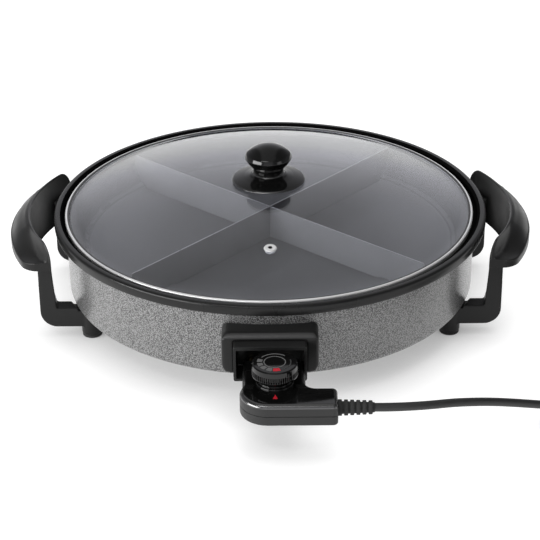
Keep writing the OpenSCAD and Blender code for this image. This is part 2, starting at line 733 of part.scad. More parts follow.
// Domed glass with its holes for the knob and the vent
module lid_glass() on_lid() color([0.75, 0.8, 0.82, 0.35]) difference() {
    rotate_extrude() polygon(concat(
        [for (i = [0:dome_rings]) let (r = dome_edge * i / dome_rings) [r, dome_at(r)]],
        [[glass_r, glass_z], [glass_r, glass_z - glass_t]],
        [for (i = [dome_rings:-1:0]) let (r = dome_edge * i / dome_rings) [r, dome_at(r) - glass_t]]));
    translate([0, 0, glass_z - glass_t]) cylinder(r = knob_screw_r + gap, h = dome_rise + 2 * glass_t);
    at_vent() translate([0, 0, -2 * glass_t]) cylinder(r = vent_r + eyelet_t + fit, h = 4 * glass_t);
}

// Steel channel round the edge of the glass
module lid_ring() on_lid() color([0.82, 0.82, 0.84]) rotate_extrude() polygon([
    [dome_edge, ring_z], [ring_r - ring_t / 2, ring_z], [ring_r, ring_z + ring_t / 2],
    [ring_r, ring_z + ring_h - ring_t / 2], [ring_r - ring_t / 2, ring_z + ring_h],
    [dome_edge, ring_z + ring_h], [dome_edge, glass_z], [glass_r, glass_z],
    [glass_r, ring_z + ring_t], [dome_edge, ring_z + ring_t]]);

// Steel eyelet that lines the steam vent
module vent_eyelet() on_lid() color([0.82, 0.82, 0.84]) at_vent() difference() {
    union() {
        translate([0, 0, -glass_t - fit]) cylinder(r = vent_r + eyelet_t, h = glass_t + 2 * fit);
        translate([0, 0, fit]) cylinder(r = vent_r + eyelet_w, h = eyelet_t);
        translate([0, 0, -glass_t - fit - eyelet_t]) cylinder(r = vent_r + eyelet_w - cut, h = eyelet_t);
    }
    translate([0, 0, -3 * glass_t]) cylinder(r = vent_r, h = 6 * glass_t);
}

// Turned base plate between the knob and the glass
module knob_base() on_lid() color([0.05, 0.05, 0.05]) difference() {
    rotate_extrude() polygon(concat(
        [[0, flange_z], [flange_d / 2 - cut, flange_z], [flange_d / 2, flange_z + flange_h * 0.12]],
        [[flange_d / 2 - cut, flange_z + flange_h * 0.3], [flange_d * 0.39, flange_z + flange_h * 0.55],
         [neck_d * 0.66, flange_z + flange_h * 0.72], [neck_d / 2 + cut, neck_z], [0, neck_z]]));
    cylinder(r = knob_screw_r + gap, h = 2 * apex_z);
}

// Knob: a straight neck that flares to a head with a bevelled edge and a domed crown
module knob() on_lid() color([0.04, 0.04, 0.04]) difference() {
    rotate_extrude() polygon(concat(
        [[0, neck_z], [neck_d / 2, neck_z], [neck_d / 2, neck_z + neck_h * 0.3],
         [neck_d / 2 + head_edge, neck_z + neck_h * 0.38], [knob_d * 0.37, neck_z + neck_h * 0.51],
         [knob_d * 0.445, neck_z + neck_h * 0.75], [knob_d / 2 - head_edge, head_z - head_edge],
         [knob_d / 2, head_z + head_edge]],
        arc(0, head_z + knob_h - crown_bow, crown_bow, asin(1 - crown_h / crown_bow), 90, 8)));
    translate([0, 0, neck_z - cut]) cylinder(r = knob_screw_r + fit, h = neck_h + cut);
}

// Screw through the glass into the knob
washer_t = 1.2;
washer_z = apex_z - glass_t - washer_t - 2 * fit;
screw_cap_h = 3;
module knob_screw() on_lid() color([0.78, 0.78, 0.8]) {
    translate([0, 0, washer_z - screw_cap_h]) cylinder(r = knob_screw_r * 1.9, h = screw_cap_h);
    translate([0, 0, washer_z - cut]) cylinder(r = knob_screw_r, h = head_z - screw_cap_h - washer_z);
}

// Washer between the screw's head and the glass
module knob_washer() on_lid() color([0.8, 0.8, 0.82]) difference() {
    translate([0, 0, washer_z]) cylinder(r = knob_screw_r * 3, h = washer_t);
    translate([0, 0, washer_z - cut]) cylinder(r = knob_screw_r + fit, h = washer_t + 2 * cut);
}

// Outlines of the controller seen from above, drawn in by an inset
function body_outline(inset) = concat(
    [[neck_right - inset, shell_back - inset], [-neck_left + inset, shell_back - inset],
     [-neck_left + inset, arm_back + neck_flare], [-ctl_left + inset, arm_back]],
    arc(-ctl_left + corner_r, ctl_front + corner_r, corner_r - inset, 180, 270),
    [[neck_right - inset, ctl_front + inset]]);
function arm_outline(inset) = round_box(0, ctl_front + inset, ctl_arm_x - inset, arm_back - inset, edge_r);

// Fillet between the controller's neck and its arm
fillet_r = 11;
function fillet_outline(inset) = concat([[neck_right - inset - 1, arm_back - inset - 1]],
    arc(neck_right + fillet_r, arm_back + fillet_r, fillet_r + inset, 270, 180));

// One level of the controller's whole outline
module controller_slab(z, h, inset) translate([0, 0, z]) {
    linear_extrude(h) polygon(body_outline(inset));
    linear_extrude(h) polygon(arm_outline(inset));
    linear_extrude(h) polygon(fillet_outline(inset));
}

// Rounded top of one convex part of the outline
module crowned(outline_low, outline_mid, outline_top) hull() {
    translate([0, 0, ctl_top - edge_r - cut]) linear_extrude(cut) polygon(outline_low);
    translate([0, 0, ctl_top - edge_r * 0.4]) linear_extrude(fit) polygon(outline_mid);
    translate([0, 0, ctl_top - fit]) linear_extrude(fit) polygon(outline_top);
}

// Upper shell of the controller, with its nose and the stepped boss of the dial
module controller_cover() on_axis() color([0.03, 0.03, 0.03]) difference() {
    union() {
        difference() {
            union() {
                controller_slab(parting_z, cover_h - edge_r, 0);
                crowned(body_outline(0), body_outline(edge_r * 0.23), body_outline(edge_r));
                crowned(arm_outline(0), arm_outline(edge_r * 0.23), arm_outline(edge_r));
                controller_slab(parting_z, cover_h, edge_r);
            }
            translate([0, 0, parting_z - cut]) linear_extrude(cover_h - shell_t + cut)
                polygon(body_outline(shell_t + 1));
            translate([0, 0, parting_z - cut]) linear_extrude(cover_h - shell_t + cut)
                polygon(arm_outline(shell_t + 1));
        }
        translate([nose_mid - nose_w / 2, shell_back - 2 * shell_t, parting_z])
            cube([nose_w, nose_y - shell_back + 2 * shell_t, cover_h - gap]);
        translate([dial_x, dial_y, ctl_top - cut]) cylinder(r = boss_r, h = boss_h * 0.5 + cut);
        translate([dial_x, dial_y, ctl_top - cut]) cylinder(r = boss_r - boss_step, h = boss_h + cut);
    }
    translate([dial_x, dial_y, parting_z]) cylinder(r = shaft_r + run, h = cover_h + boss_h + cut);
    for (x = [-pin_x, pin_x]) along_y(x, arm_back, nose_y + cut, pin_z, sleeve_r + fit);
    along_y(0, arm_back, nose_y + cut, pin_z, probe_r + fit);
}

// Lower shell of the controller, which stops in front of the collar
module controller_base() on_axis() color([0.08, 0.08, 0.08]) difference() {
    controller_slab(ctl_z, base_h, 0);
    translate([0, 0, ctl_z + shell_t]) linear_extrude(base_h) polygon(body_outline(shell_t + 1));
    translate([0, 0, ctl_z + shell_t]) linear_extrude(base_h) polygon(arm_outline(shell_t + 1));
    for (p = case_screws) translate([p[0], p[1], ctl_z - cut])
        cylinder(r = case_screw_r + fit, h = base_h + cut);
}

// Screws that close the controller from below
case_screw_r = 1.5;
case_screw_out = 3;
case_screw_in = 7;
case_screw_deep = 12;
case_screw_back = 16;
case_screws = [[-ctl_left + case_screw_deep, ctl_front + case_screw_deep],
    [ctl_arm_x - case_screw_in, ctl_front + case_screw_in],
    [neck_right - case_screw_in, arm_back + case_screw_back]];
module controller_screws() on_axis() color([0.7, 0.7, 0.72]) {
    for (p = case_screws) translate([p[0], p[1], ctl_z]) {
        cylinder(r = case_screw_r, h = base_h + cover_h - shell_t);
        translate([0, 0, shell_t]) cylinder(r = case_screw_out, h = base_h - shell_t);
    }
}

// Thermostat that the dial sets, inside the controller
therm_back = dial_y + therm_d / 2;
module thermostat_block() on_axis() color([0.85, 0.83, 0.76]) difference() {
    translate([dial_x - therm_w / 2, therm_back - therm_d, ctl_z + shell_t])
        cube([therm_w, therm_d, base_h + cover_h - 2 * shell_t - cut]);
    translate([dial_x, dial_y, pin_z]) cylinder(r = shaft_r + run, h = cover_h);
    for (x = [-pin_x, pin_x]) along_y(x, therm_back - therm_seat, therm_back + cut, pin_z, sleeve_r + fit);
    along_y(0, therm_back - therm_seat, therm_back + cut, pin_z, probe_r + fit);
    for (p = case_screws) translate([p[0], p[1], ctl_z])
        cylinder(r = case_screw_out + gap, h = base_h + cover_h);
}

// Probe that feels the pan's heat
module probe_rod() on_axis() color([0.8, 0.8, 0.82]) {
    along_y(0, therm_back - therm_seat, probe_tip_y - probe_r, pin_z, probe_r);
    translate([0, probe_tip_y - probe_r, pin_z]) sphere(r = probe_r);
}

// Spring contacts that slide over the socket's pins
module contact_sleeves() on_axis() color([0.8, 0.68, 0.35]) {
    for (x = [-pin_x, pin_x]) difference() {
        along_y(x, therm_back - therm_seat, nose_y - cut, pin_z, sleeve_r);
        along_y(x, pin_tip_y - 2 * cut, nose_y + cut, pin_z, pin_r + gap);
    }
}

// Temperature dial, grooved round its side
module dial() on_axis() translate([dial_x, dial_y, 0]) color([0.05, 0.05, 0.05]) difference() {
    union() {
        translate([0, 0, dial_z]) cylinder(r = boss_r - boss_step - cut, h = dial_neck_h + cut);
        translate([0, 0, dial_z + dial_neck_h]) cylinder(r = dial_r, h = dial_h - cut);
        translate([0, 0, dial_z + dial_neck_h + dial_h - cut])
            cylinder(r1 = dial_r, r2 = dial_r - cut, h = cut);
    }
    for (i = [0:dial_grooves - 1]) rotate([0, 0, 360 * i / dial_grooves])
        translate([dial_r + groove_r / 2, 0, dial_z])
        cylinder(r = groove_r, h = dial_neck_h + dial_h * 0.7, $fn = 16);
    translate([0, 0, dial_z - cut]) cylinder(r = shaft_r, h = dial_neck_h + dial_h * 0.5 + cut);
}

// Shaft from the thermostat up into the dial
module dial_shaft() on_axis() color([0.75, 0.75, 0.77])
    translate([dial_x, dial_y, pin_z + gap])
    cylinder(r = shaft_r, h = dial_z + dial_neck_h + dial_h * 0.5 - pin_z - gap);

// Ribbed strain relief at the end of the controller's arm
relief_t = 2;
rib_h = 1.5;
function relief_radius(t) = (relief_d + (lead_d + 2 * relief_t - relief_d) * t) / 2;
module strain_relief() translate([ctl_arm_x, axis_y + ctl_front + ctl_arm_d / 2, lead_z]) rotate([0, 90, 0])
    color([0.06, 0.06, 0.06]) rotate_extrude() polygon(concat([[0, 0]],
        [for (i = [0:relief_ribs - 1], s = [0:3]) let (t = (i + [0, 0.62, 0.62, 1][s]) / relief_ribs)
            [relief_radius(t) - (s < 2 ? 0 : rib_h), t * relief_l]],
        [[0, relief_l]]));

// Free stretch of the lead, and its coil with a tie
module cord() color([0.05, 0.05, 0.05]) tube(lead_route, lead_d / 2, 10);
module cord_coil() color([0.05, 0.05, 0.05]) tube(coil_path, lead_d / 2, 6);
tie_in = coil_r - coil_step * 1.75 - lead_d / 2 - tie_slack;
tie_out = coil_r - coil_step * 0.75 + lead_d / 2 + tie_slack;
tie_top = coil_z + coil_step + lead_d / 2 + tie_slack;
tie_low = coil_z - lead_d / 2 - gap;
module coil_tie() color([0.1, 0.1, 0.1]) difference() {
    translate([coil_x - tie_out - tie_t, coil_y - tie_w / 2, tie_low - tie_t])
        cube([tie_out - tie_in + 2 * tie_t, tie_w, tie_top - tie_low + 2 * tie_t]);
    translate([coil_x - tie_out, coil_y - tie_w, tie_low])
        cube([tie_out - tie_in, 2 * tie_w, tie_top - tie_low]);
}

// Two-pin mains plug that lies beside the coil
plug_y = coil_out[1] + coil_end;
module plug_body() color([0.05, 0.05, 0.05]) translate([coil_out[0], plug_y, plug_axis_z]) rotate([-90, 0, 0])
    rotate_extrude() polygon([[0, 0], [lead_d / 2 + relief_t, 0],
        [lead_d / 2 + 2 * relief_t, plug_relief_l * 0.82],
        [plug_d * 0.37, plug_relief_l], [plug_d * 0.47, plug_relief_l + plug_l * 0.13],
        [plug_d / 2, plug_relief_l + plug_l * 0.24],
        [plug_d / 2, plug_relief_l + plug_l], [0, plug_relief_l + plug_l]]);
pin_pitch = 19;
plug_pin_l = 19;
plug_pin_r = 2.4;
module plug_pins() color([0.8, 0.78, 0.72]) for (s = [-1, 1])
    translate([coil_out[0] + s * pin_pitch / 2, plug_y + plug_relief_l + plug_l, plug_axis_z])
    rotate([-90, 0, 0]) {
        cylinder(r = plug_pin_r, h = plug_pin_l - plug_pin_r);
        translate([0, 0, plug_pin_l - plug_pin_r]) sphere(r = plug_pin_r);
    }

pan_body();
casing();
base_plate();
spacer_tube();
pan_bolt();
heating_element();
sensor_block();
terminal_pins();
terminal_bushes();
socket_housing();
socket_collar();
socket_screws();
left_grip();
right_grip();
left_front_leg();
left_back_leg();
right_front_leg();
right_back_leg();
foot_pads();
foot_screws();
foot_nuts();
divider_panel_a();
divider_panel_b();
lid_glass();
lid_ring();
vent_eyelet();
knob();
knob_base();
knob_screw();
knob_washer();
controller_cover();
controller_base();
controller_screws();
thermostat_block();
probe_rod();
contact_sleeves();
dial();
dial_shaft();
strain_relief();
cord();
cord_coil();
coil_tie();
plug_body();
plug_pins();
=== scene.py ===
# %% [markdown]
# # Dressing an electric grill pan
# The solid model of this pan already has every piece at its place and size. In this lesson we load
# it as a fixed frame and then give each visible piece the edges, the finish and the small marks
# that the real one has. Everything is in metres, with the table at height zero and the front of
# the pan towards -Y. Drawings of real pieces are in millimetres, so MM turns one into the other.

# %% Load the solid model
import bpy
import bmesh
from math import asin, cos, pi, radians, sin, sqrt, tan
from mathutils import Matrix, Vector


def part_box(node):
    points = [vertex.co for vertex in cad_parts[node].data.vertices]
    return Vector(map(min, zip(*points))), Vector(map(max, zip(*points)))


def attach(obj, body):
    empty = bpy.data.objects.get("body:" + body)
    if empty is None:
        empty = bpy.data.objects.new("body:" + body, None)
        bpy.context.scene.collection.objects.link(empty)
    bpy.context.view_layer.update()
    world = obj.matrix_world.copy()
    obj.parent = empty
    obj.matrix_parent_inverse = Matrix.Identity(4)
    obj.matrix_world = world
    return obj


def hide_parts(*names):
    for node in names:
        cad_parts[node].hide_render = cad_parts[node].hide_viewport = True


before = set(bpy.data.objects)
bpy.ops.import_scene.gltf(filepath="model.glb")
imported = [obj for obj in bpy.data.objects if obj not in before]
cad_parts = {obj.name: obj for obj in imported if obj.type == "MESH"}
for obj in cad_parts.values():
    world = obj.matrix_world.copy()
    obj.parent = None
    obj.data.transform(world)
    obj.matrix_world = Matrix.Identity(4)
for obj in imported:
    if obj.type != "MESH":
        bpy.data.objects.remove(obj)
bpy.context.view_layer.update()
scene = bpy.context.scene
scene.view_settings.view_transform = "Standard"
MM = 0.001
PAN_Y = 40.0

# %% [markdown]
# ## The camera
# A product photograph of a low, wide pan is usually taken from a little under thirty degrees, with
# a long lens so that the round rim stays an even ellipse. We could drag a camera about by eye, but
# the rim, the lid and the handles give enough points to work the place out, so the angles below are
# typed in. The camera's three axes are built one by one, which also gives the slight roll.

# %% Stand the camera
azimuth, elevation, roll = radians(0.29), radians(27.65), radians(0.59)
AIM_HEIGHT, CAMERA_REACH = 0.0321, 1.6
aim = Vector((0.0, PAN_Y * MM, AIM_HEIGHT))
back = Vector((sin(azimuth) * cos(elevation), -cos(azimuth) * cos(elevation), sin(elevation)))
level = Vector((cos(azimuth), sin(azimuth), 0.0))
upward = back.cross(level)
side = cos(roll) * level - sin(roll) * upward
top = sin(roll) * level + cos(roll) * upward
lens = bpy.data.cameras.new("studio_camera")
lens.sensor_width = 36.0
lens.lens = 106.73
lens.shift_x = -0.001
camera = bpy.data.objects.new("studio_camera", lens)
scene.collection.objects.link(camera)
turn = Matrix((side, top, back)).transposed().to_4x4()
camera.matrix_world = Matrix.Translation(aim + back * CAMERA_REACH) @ turn
scene.camera = camera
print("camera at", [round(v, 3) for v in camera.matrix_world.translation])

# %% [markdown]
# ## Finishes
# Most materials on a pan like this are one shader with three small departures from a flat colour:
# clouds that shift the colour a little, the same clouds shifting the gloss, and a fine grain that
# tilts the surface. One helper makes them all. The clouds and the grain read Object coordinates, so
# their size is in real lengths: a noise of scale 1000 has features about a millimetre across.

# %% Helpers for shader nodes
def fill(node, sockets):
    for socket, value in sockets.items():
        node.inputs[socket].default_value = value

def shader_node(nodes, kind, sockets=None, **traits):
    """Adds a shader node, sets its traits and then the values of its sockets."""
    made = nodes.new("ShaderNode" + kind)
    for trait, value in traits.items():
        setattr(made, trait, value)
    fill(made, sockets or {})
    return made

def join(wires, *joints):
    """Wires nodes, each joint given as a node, its output, the next node and its input."""
    for start, leaves, end, enters in joints:
        wires.new(start.outputs[leaves], end.inputs[enters])

def blank_finish(name):
    made = bpy.data.materials.new(name)
    made.use_nodes = True
    nodes = made.node_tree.nodes
    return made, nodes, made.node_tree.links, nodes["Principled BSDF"]

def grey(low, high):
    return {"dark": (low, low, low), "light": (high, high, high)}

print("helpers for shader nodes are ready")

# %% A helper for the finishes
GRAIN_DEPTH = 0.0002

def finish(name, dark, light, rough, swing=0.05, cloud=30.0, grain=900.0, bump=0.1, **sockets):
    made, nodes, wires, shader = blank_finish(name)
    place = shader_node(nodes, "TexCoord")
    clouds = shader_node(nodes, "TexNoise", {"Scale": cloud, "Detail": 5.0})
    grains = shader_node(nodes, "TexNoise", {"Scale": grain, "Detail": 2.0})
    tone = shader_node(nodes, "Mix", {"A": (*dark, 1.0), "B": (*light, 1.0)}, data_type="RGBA")
    span = {"From Min": 0.3, "From Max": 0.7, "To Min": max(rough - swing, 0.0), "To Max": rough + swing}
    gloss = shader_node(nodes, "MapRange", span)
    tilt = shader_node(nodes, "Bump", {"Strength": bump, "Distance": GRAIN_DEPTH})
    join(wires, (place, "Object", clouds, "Vector"), (place, "Object", grains, "Vector"),
         (clouds, "Fac", tone, "Factor"), (tone, "Result", shader, "Base Color"),
         (clouds, "Fac", gloss, "Value"), (gloss, "Result", shader, "Roughness"),
         (grains, "Fac", tilt, "Height"), (tilt, "Normal", shader, "Normal"))
    fill(shader, {socket.replace("_", " "): value for socket, value in sockets.items()})
    print("finish:", name)
    return made

# %% [markdown]
# ## Helpers for the pieces
# A finished piece is a mesh in its own object at the origin. The helper below closes the mesh,
# turns its faces outwards, shades it smooth except over real edges, lets it ride on its body and
# says which solids it stands for.

# %% Helpers that finish a piece
def stood(name, work):
    """Makes an object of a bmesh, with its place in its mesh."""
    mesh = bpy.data.meshes.new(name)
    work.to_mesh(mesh)
    work.free()
    made = bpy.data.objects.new(name, mesh)
    scene.collection.objects.link(made)
    return made

def piece(name, work, material, body, *solids, sharp=38.0, even=False):
    bmesh.ops.remove_doubles(work, verts=work.verts, dist=1e-6)
    bmesh.ops.recalc_face_normals(work, faces=work.faces)
    made = stood(name, work)
    mesh = made.data
    mesh.polygons.foreach_set("use_smooth", [True] * len(mesh.polygons))
    mesh.set_sharp_from_angle(angle=radians(sharp))
    for one in material if isinstance(material, list) else [material]:
        mesh.materials.append(one)
    if even:
        made.modifiers.new("even_shading", "WEIGHTED_NORMAL").keep_sharp = True
    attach(made, body)
    if solids:
        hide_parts(*solids)
    print(name, "faces:", len(mesh.polygons))
    return made

# %% [markdown]
# ## The mains lead
# The lead leaves the controller level, sinks to the table and runs on to a neat tied coil beside
# the pan. It could be a mesh tube, but a curve with a round bevel is one smooth line that the
# eye and the ruler agree on. Its points are typed in where it is free; the coil winds inwards on
# the table for two turns, climbs by one thickness and winds outwards again on top.

# %% Route of the lead
free_run = [(88, -237, 46), (100, -237, 46), (118, -236, 46), (136, -233, 45.4), (154, -228, 44),
            (172, -222, 41), (190, -215, 36.5), (208, -207, 30.5), (226, -199, 24), (244, -191, 17.5),
            (262, -184, 11.6), (280, -178, 7.6), (298, -174, 5.8), (316, -172, 5.5)]
COIL_TURNS, COIL_STEP, COIL_KNOTS = 4.25, 8.2, 102
COIL_X, COIL_Y, COIL_OUT, COIL_LOW = 324, -122, 50, 5.5
PLUG_END = (371.95, -114, 19)

def eased(t):
    t = min(max(t, 0.0), 1.0)
    return t * t * (3 - 2 * t)

def coil_point(n):
    out = COIL_OUT - COIL_STEP * (n if n < 2.25 else 4.5 - n)
    rise = COIL_LOW + COIL_STEP * eased((n - 2) / 0.5) + 5.3 * eased((n - 4) / 0.25)
    return (COIL_X + out * sin(2 * pi * n), COIL_Y - out * cos(2 * pi * n), rise)

coil_run = [coil_point(COIL_TURNS * i / COIL_KNOTS) for i in range(COIL_KNOTS + 1)]
lead_line = free_run + coil_run + [PLUG_END]
lead_steps = zip(lead_line, lead_line[1:])
lead_length = sum((Vector(b) - Vector(a)).length for a, b in lead_steps) * MM
print("lead, metres:", round(lead_length, 3))

# %% Draw the lead
rubber_lead = finish("lead_sheath", **grey(0.018, 0.03), rough=0.42, cloud=60.0, grain=1500.0, bump=0.12)
line = bpy.data.curves.new("mains_lead", "CURVE")
line.dimensions = "3D"
line.resolution_u = 4
line.bevel_depth = 3.75 * MM
line.bevel_resolution = 5
line.use_fill_caps = True
strand = line.splines.new("BEZIER")
strand.bezier_points.add(len(lead_line) - 1)
for knot, point in zip(strand.bezier_points, lead_line):
    knot.co = Vector(point) * MM
    knot.handle_left_type = knot.handle_right_type = "AUTO"
mains_lead = bpy.data.objects.new("mains_lead", line)
scene.collection.objects.link(mains_lead)
line.materials.append(rubber_lead)
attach(mains_lead, "controller")
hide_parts("cord", "cord_coil")
print("lead points:", len(lead_line))

# %% [markdown]
# ## Turned pieces
# The pan, the casing, the lid, the knob and the plug are round, so they are turned like on a lathe:
# a few points of the section, joined by edges, and one spin about the axis. A round corner is left
# sharp in the section and eased afterwards by a bevel on the ring of edges that the spin made.

# %% Helpers for turned pieces
PAN_AXIS = (0.0, PAN_Y)

def turned(section, steps=144, about=PAN_AXIS, closed=False):
    work = bmesh.new()
    x, y = about
    points = [work.verts.new(((x + r) * MM, y * MM, z * MM)) for r, z in section]
    pairs = list(zip(points, points[1:])) + ([(points[-1], points[0])] if closed else [])
    edges = [work.edges.new(pair) for pair in pairs]
    bmesh.ops.spin(work, geom=points + edges, cent=(x * MM, y * MM, 0), axis=(0, 0, 1),
                   angle=2 * pi, steps=steps, use_merge=True)
    bmesh.ops.remove_doubles(work, verts=work.verts, dist=1e-6)
    bmesh.ops.recalc_face_normals(work, faces=work.faces)
    return work

def out_from(spot, about):
    """How far a point lies from an upright axis, in millimetres."""
    return (spot.xy - Vector(about) * MM).length / MM

def soften(work, edges, radius, segments=4):
    bmesh.ops.bevel(work, geom=edges, offset=radius * MM, segments=segments, affect="EDGES",
                    profile=0.5, material=-1, clamp_overlap=True)

def ease_rings(work, rings, about=PAN_AXIS, segments=4):
    """Rounds rings of edges, each given as its radius, its height and the ease."""
    for radius, height, ease in rings:
        found = []
        for edge in work.edges:
            spots = [(out_from(vert.co, about), vert.co.z / MM) for vert in edge.verts]
            if all(abs(r - radius) < 0.05 and abs(z - height) < 0.05 for r, z in spots):
                found.append(edge)
        soften(work, found, ease, segments)

print("helpers for turned pieces are ready")

# %% [markdown]
# ## Drawn pieces
# Other pieces start from a drawing: a flat face that is extruded to a thickness, or a row of closed
# sections with a skin from each to the next. Both are operators of bmesh, so that the script only
# says where the drawing's points are.

# %% Helpers for drawn pieces
def thicken(work, shift):
    """Extrudes all faces of a flat drawing by a shift in millimetres."""
    grown = bmesh.ops.extrude_face_region(work, geom=work.faces[:])
    moved = [part for part in grown["geom"] if isinstance(part, bmesh.types.BMVert)]
    bmesh.ops.translate(work, vec=Vector(shift) * MM, verts=moved)

def skin(work, sections):
    """Bridges a row of closed sections, given in millimetres, and closes both ends."""
    loops = []
    for section in sections:
        spots = [work.verts.new(Vector(spot) * MM) for spot in section]
        loops.append([work.edges.new((spots[i - 1], spots[i])) for i in range(len(spots))])
    for one, two in zip(loops, loops[1:]):
        bmesh.ops.bridge_loops(work, edges=one + two)
    for end in (loops[0], loops[-1]):
        bmesh.ops.edgeloop_fill(work, edges=end)
    bmesh.ops.recalc_face_normals(work, faces=work.faces)
    return work

print("helpers for drawn pieces are ready")

# %% [markdown]
# ## The pan
# The pan is die-cast aluminium with a dark non-stick coat. Its wall leans outwards into a ledge on
# which the lid's ring sits, and a flat rim closes it. A coat like this is neither glossy nor dull:
# it has a soft sheen, a fine pebble and faint clouds from spraying. The floor is painted darker near
# the middle and paler towards the wall as painted shade, and the bend between them is painted paler
# and glossier as a painted highlight, so these get finishes of their own. The groove beside the
# lid's ring is painted dead black as painted shade.

# %% A coat that pales outwards
def paler_outwards(coat, near, far, gain):
    """Scales a finish's colour from its own near the pan's axis to a paler one further out."""
    nodes, wires = coat.node_tree.nodes, coat.node_tree.links
    shader = nodes["Principled BSDF"]
    colour = shader.inputs["Base Color"].links[0].from_socket
    place = shader_node(nodes, "TexCoord")
    flatten = {1: (1.0, 1.0, 0.0), 2: (0.0, -PAN_Y * MM, 0.0)}
    flat = shader_node(nodes, "VectorMath", flatten, operation="MULTIPLY_ADD")
    reach = shader_node(nodes, "VectorMath", operation="LENGTH")
    span = {"From Min": near * MM, "From Max": far * MM, "To Min": 1.0, "To Max": gain}
    grow = shader_node(nodes, "MapRange", span)
    paler = shader_node(nodes, "VectorMath", operation="SCALE")
    wires.new(colour, paler.inputs[0])
    join(wires, (place, "Object", flat, 0), (flat, "Vector", reach, 0), (reach, "Value", grow, "Value"),
         (grow, "Result", paler, "Scale"), (paler, "Vector", shader, "Base Color"))
    print("pales outwards:", coat.name)

# %% Finishes of the pan
SPRAYED = {"cloud": 22.0, "grain": 1400.0}
nonstick = finish("nonstick_coat", **grey(0.100, 0.124), rough=0.34, **SPRAYED, bump=0.05,
                  Specular_IOR_Level=0.35)
black_rim = finish("black_rim", **grey(0.008, 0.013), rough=0.28, swing=0.04, **SPRAYED,
                   Specular_IOR_Level=0.32)
# Painted highlight: the bend between floor and wall is paler and glossier than the rest of the coat.
painted_highlight_bend = finish("painted_highlight_bend", **grey(0.135, 0.165), rough=0.30, **SPRAYED, bump=0.05,
                   Specular_IOR_Level=0.4)
pan_floor = finish("pan_floor", **grey(0.080, 0.100), rough=0.34, **SPRAYED, bump=0.05,
                   Specular_IOR_Level=0.35)
# Painted shade: the groove between the lid's ring and the rim is painted dead black, with no reflection.
painted_shade_groove = finish("painted_shade_groove", **grey(0.003, 0.005), rough=0.45, swing=0.04, **SPRAYED, bump=0.05,
                      Specular_IOR_Level=0.0)
# Painted shade: the floor's colour is darker near the middle and grows paler towards the wall.
paler_outwards(pan_floor, 105, 174, 1.9)
PAN_COATS = [nonstick, black_rim, painted_highlight_bend, pan_floor, painted_shade_groove]
RIM_FROM, GROOVE_FROM, BEND_FROM, BEND_TO = 205.4, 193.8, 178.6, 181.8

def pan_coat(spot):
    """Which of the pan's finishes a face takes, by its place."""
    out, high = out_from(spot, PAN_AXIS), spot.z / MM
    if out > RIM_FROM and high > 96:
        return PAN_COATS.index(black_rim)
    if GROOVE_FROM < out <= RIM_FROM and high > 98:
        return PAN_COATS.index(painted_shade_groove)
    if BEND_FROM < out < BEND_TO and 68.4 < high < 74:
        return PAN_COATS.index(painted_highlight_bend)
    if out <= BEND_FROM and 68.4 < high < 69.5:
        return PAN_COATS.index(pan_floor)
    return PAN_COATS.index(nonstick)

# %% Turn the pan
pan_work = turned([(0, 68.5), (181.02, 68.5), (193.5, 99.4), (201.7, 99.4), (201.7, 106), (210, 106),
                   (210, 96.6), (196.14, 96.6), (183.38, 65), (9, 65), (9, 47), (3.1, 47), (3.1, 63.2),
                   (0, 63.2)], steps=180)
ease_rings(pan_work, ((181.02, 68.5, 7.08), (183.38, 65, 9.145)), segments=7)
ease_rings(pan_work, ((193.5, 99.4, 1.2), (201.7, 99.4, 0.8), (201.7, 106, 2.5), (210, 106, 2.6),
                      (210, 96.6, 1.2)))
for face in pan_work.faces:
    face.material_index = pan_coat(face.calc_center_median())
pan = piece("pan", pan_work, PAN_COATS, "pan", "pan_body")

# %% [markdown]
# ## The casing
# Below the rim the pan hides in a pressed steel casing with hammered paint: grey enamel that shrinks
# into small cells while it dries, each with a raised middle and a darker, sunken edge. Cells about a
# millimetre wide come from a Voronoi pattern, used for the colour, the gloss and the bump. A little
# noise shifts the cells, because real ones are never as regular as the pattern.

# %% Hammered paint
CELL_SHIFT = 0.0009

def hammered_paint():
    made, nodes, wires, shader = blank_finish("hammered_paint")
    fill(shader, {"Metallic": 0.35, "Coat Weight": 0.9, "Coat Roughness": 0.25})
    place = shader_node(nodes, "TexCoord")
    wobble = shader_node(nodes, "TexNoise", {"Scale": 560.0})
    shift = shader_node(nodes, "VectorMath", {1: (CELL_SHIFT,) * 3}, operation="MULTIPLY_ADD")
    cells = shader_node(nodes, "TexVoronoi", {"Scale": 1050.0, "Smoothness": 0.35}, feature="SMOOTH_F1")
    tone = shader_node(nodes, "ValToRGB")
    for stop, spot, level in ((0, 0.22, 0.43), (1, 0.62, 0.06)):
        tone.color_ramp.elements[stop].position = spot
        tone.color_ramp.elements[stop].color = (level, level, level, 1.0)
    gloss = shader_node(nodes, "MapRange", {"To Min": 0.36, "To Max": 0.56})
    tilt = shader_node(nodes, "Bump", {"Strength": 0.45, "Distance": 0.0004}, invert=True)
    join(wires, (place, "Object", wobble, "Vector"), (wobble, "Color", shift, 0),
         (place, "Object", shift, 2), (shift, "Vector", cells, "Vector"), (cells, "Distance", tone, "Fac"),
         (tone, "Color", shader, "Base Color"), (cells, "Distance", gloss, "Value"),
         (gloss, "Result", shader, "Roughness"), (cells, "Distance", tilt, "Height"),
         (tilt, "Normal", shader, "Normal"))
    return made

enamel = hammered_paint()
print("finish:", enamel.name)

# %% Turn the casing
shell_work = turned([(198.8, 96.6), (198.8, 29), (178.8, 29), (178.8, 30.2), (197.6, 30.2), (197.6, 96.6)],
                    steps=180, closed=True)
ease_rings(shell_work, ((198.8, 29, 5), (197.6, 30.2, 3.8)), segments=6)
shell = piece("casing_shell", shell_work, enamel, "pan", "casing")

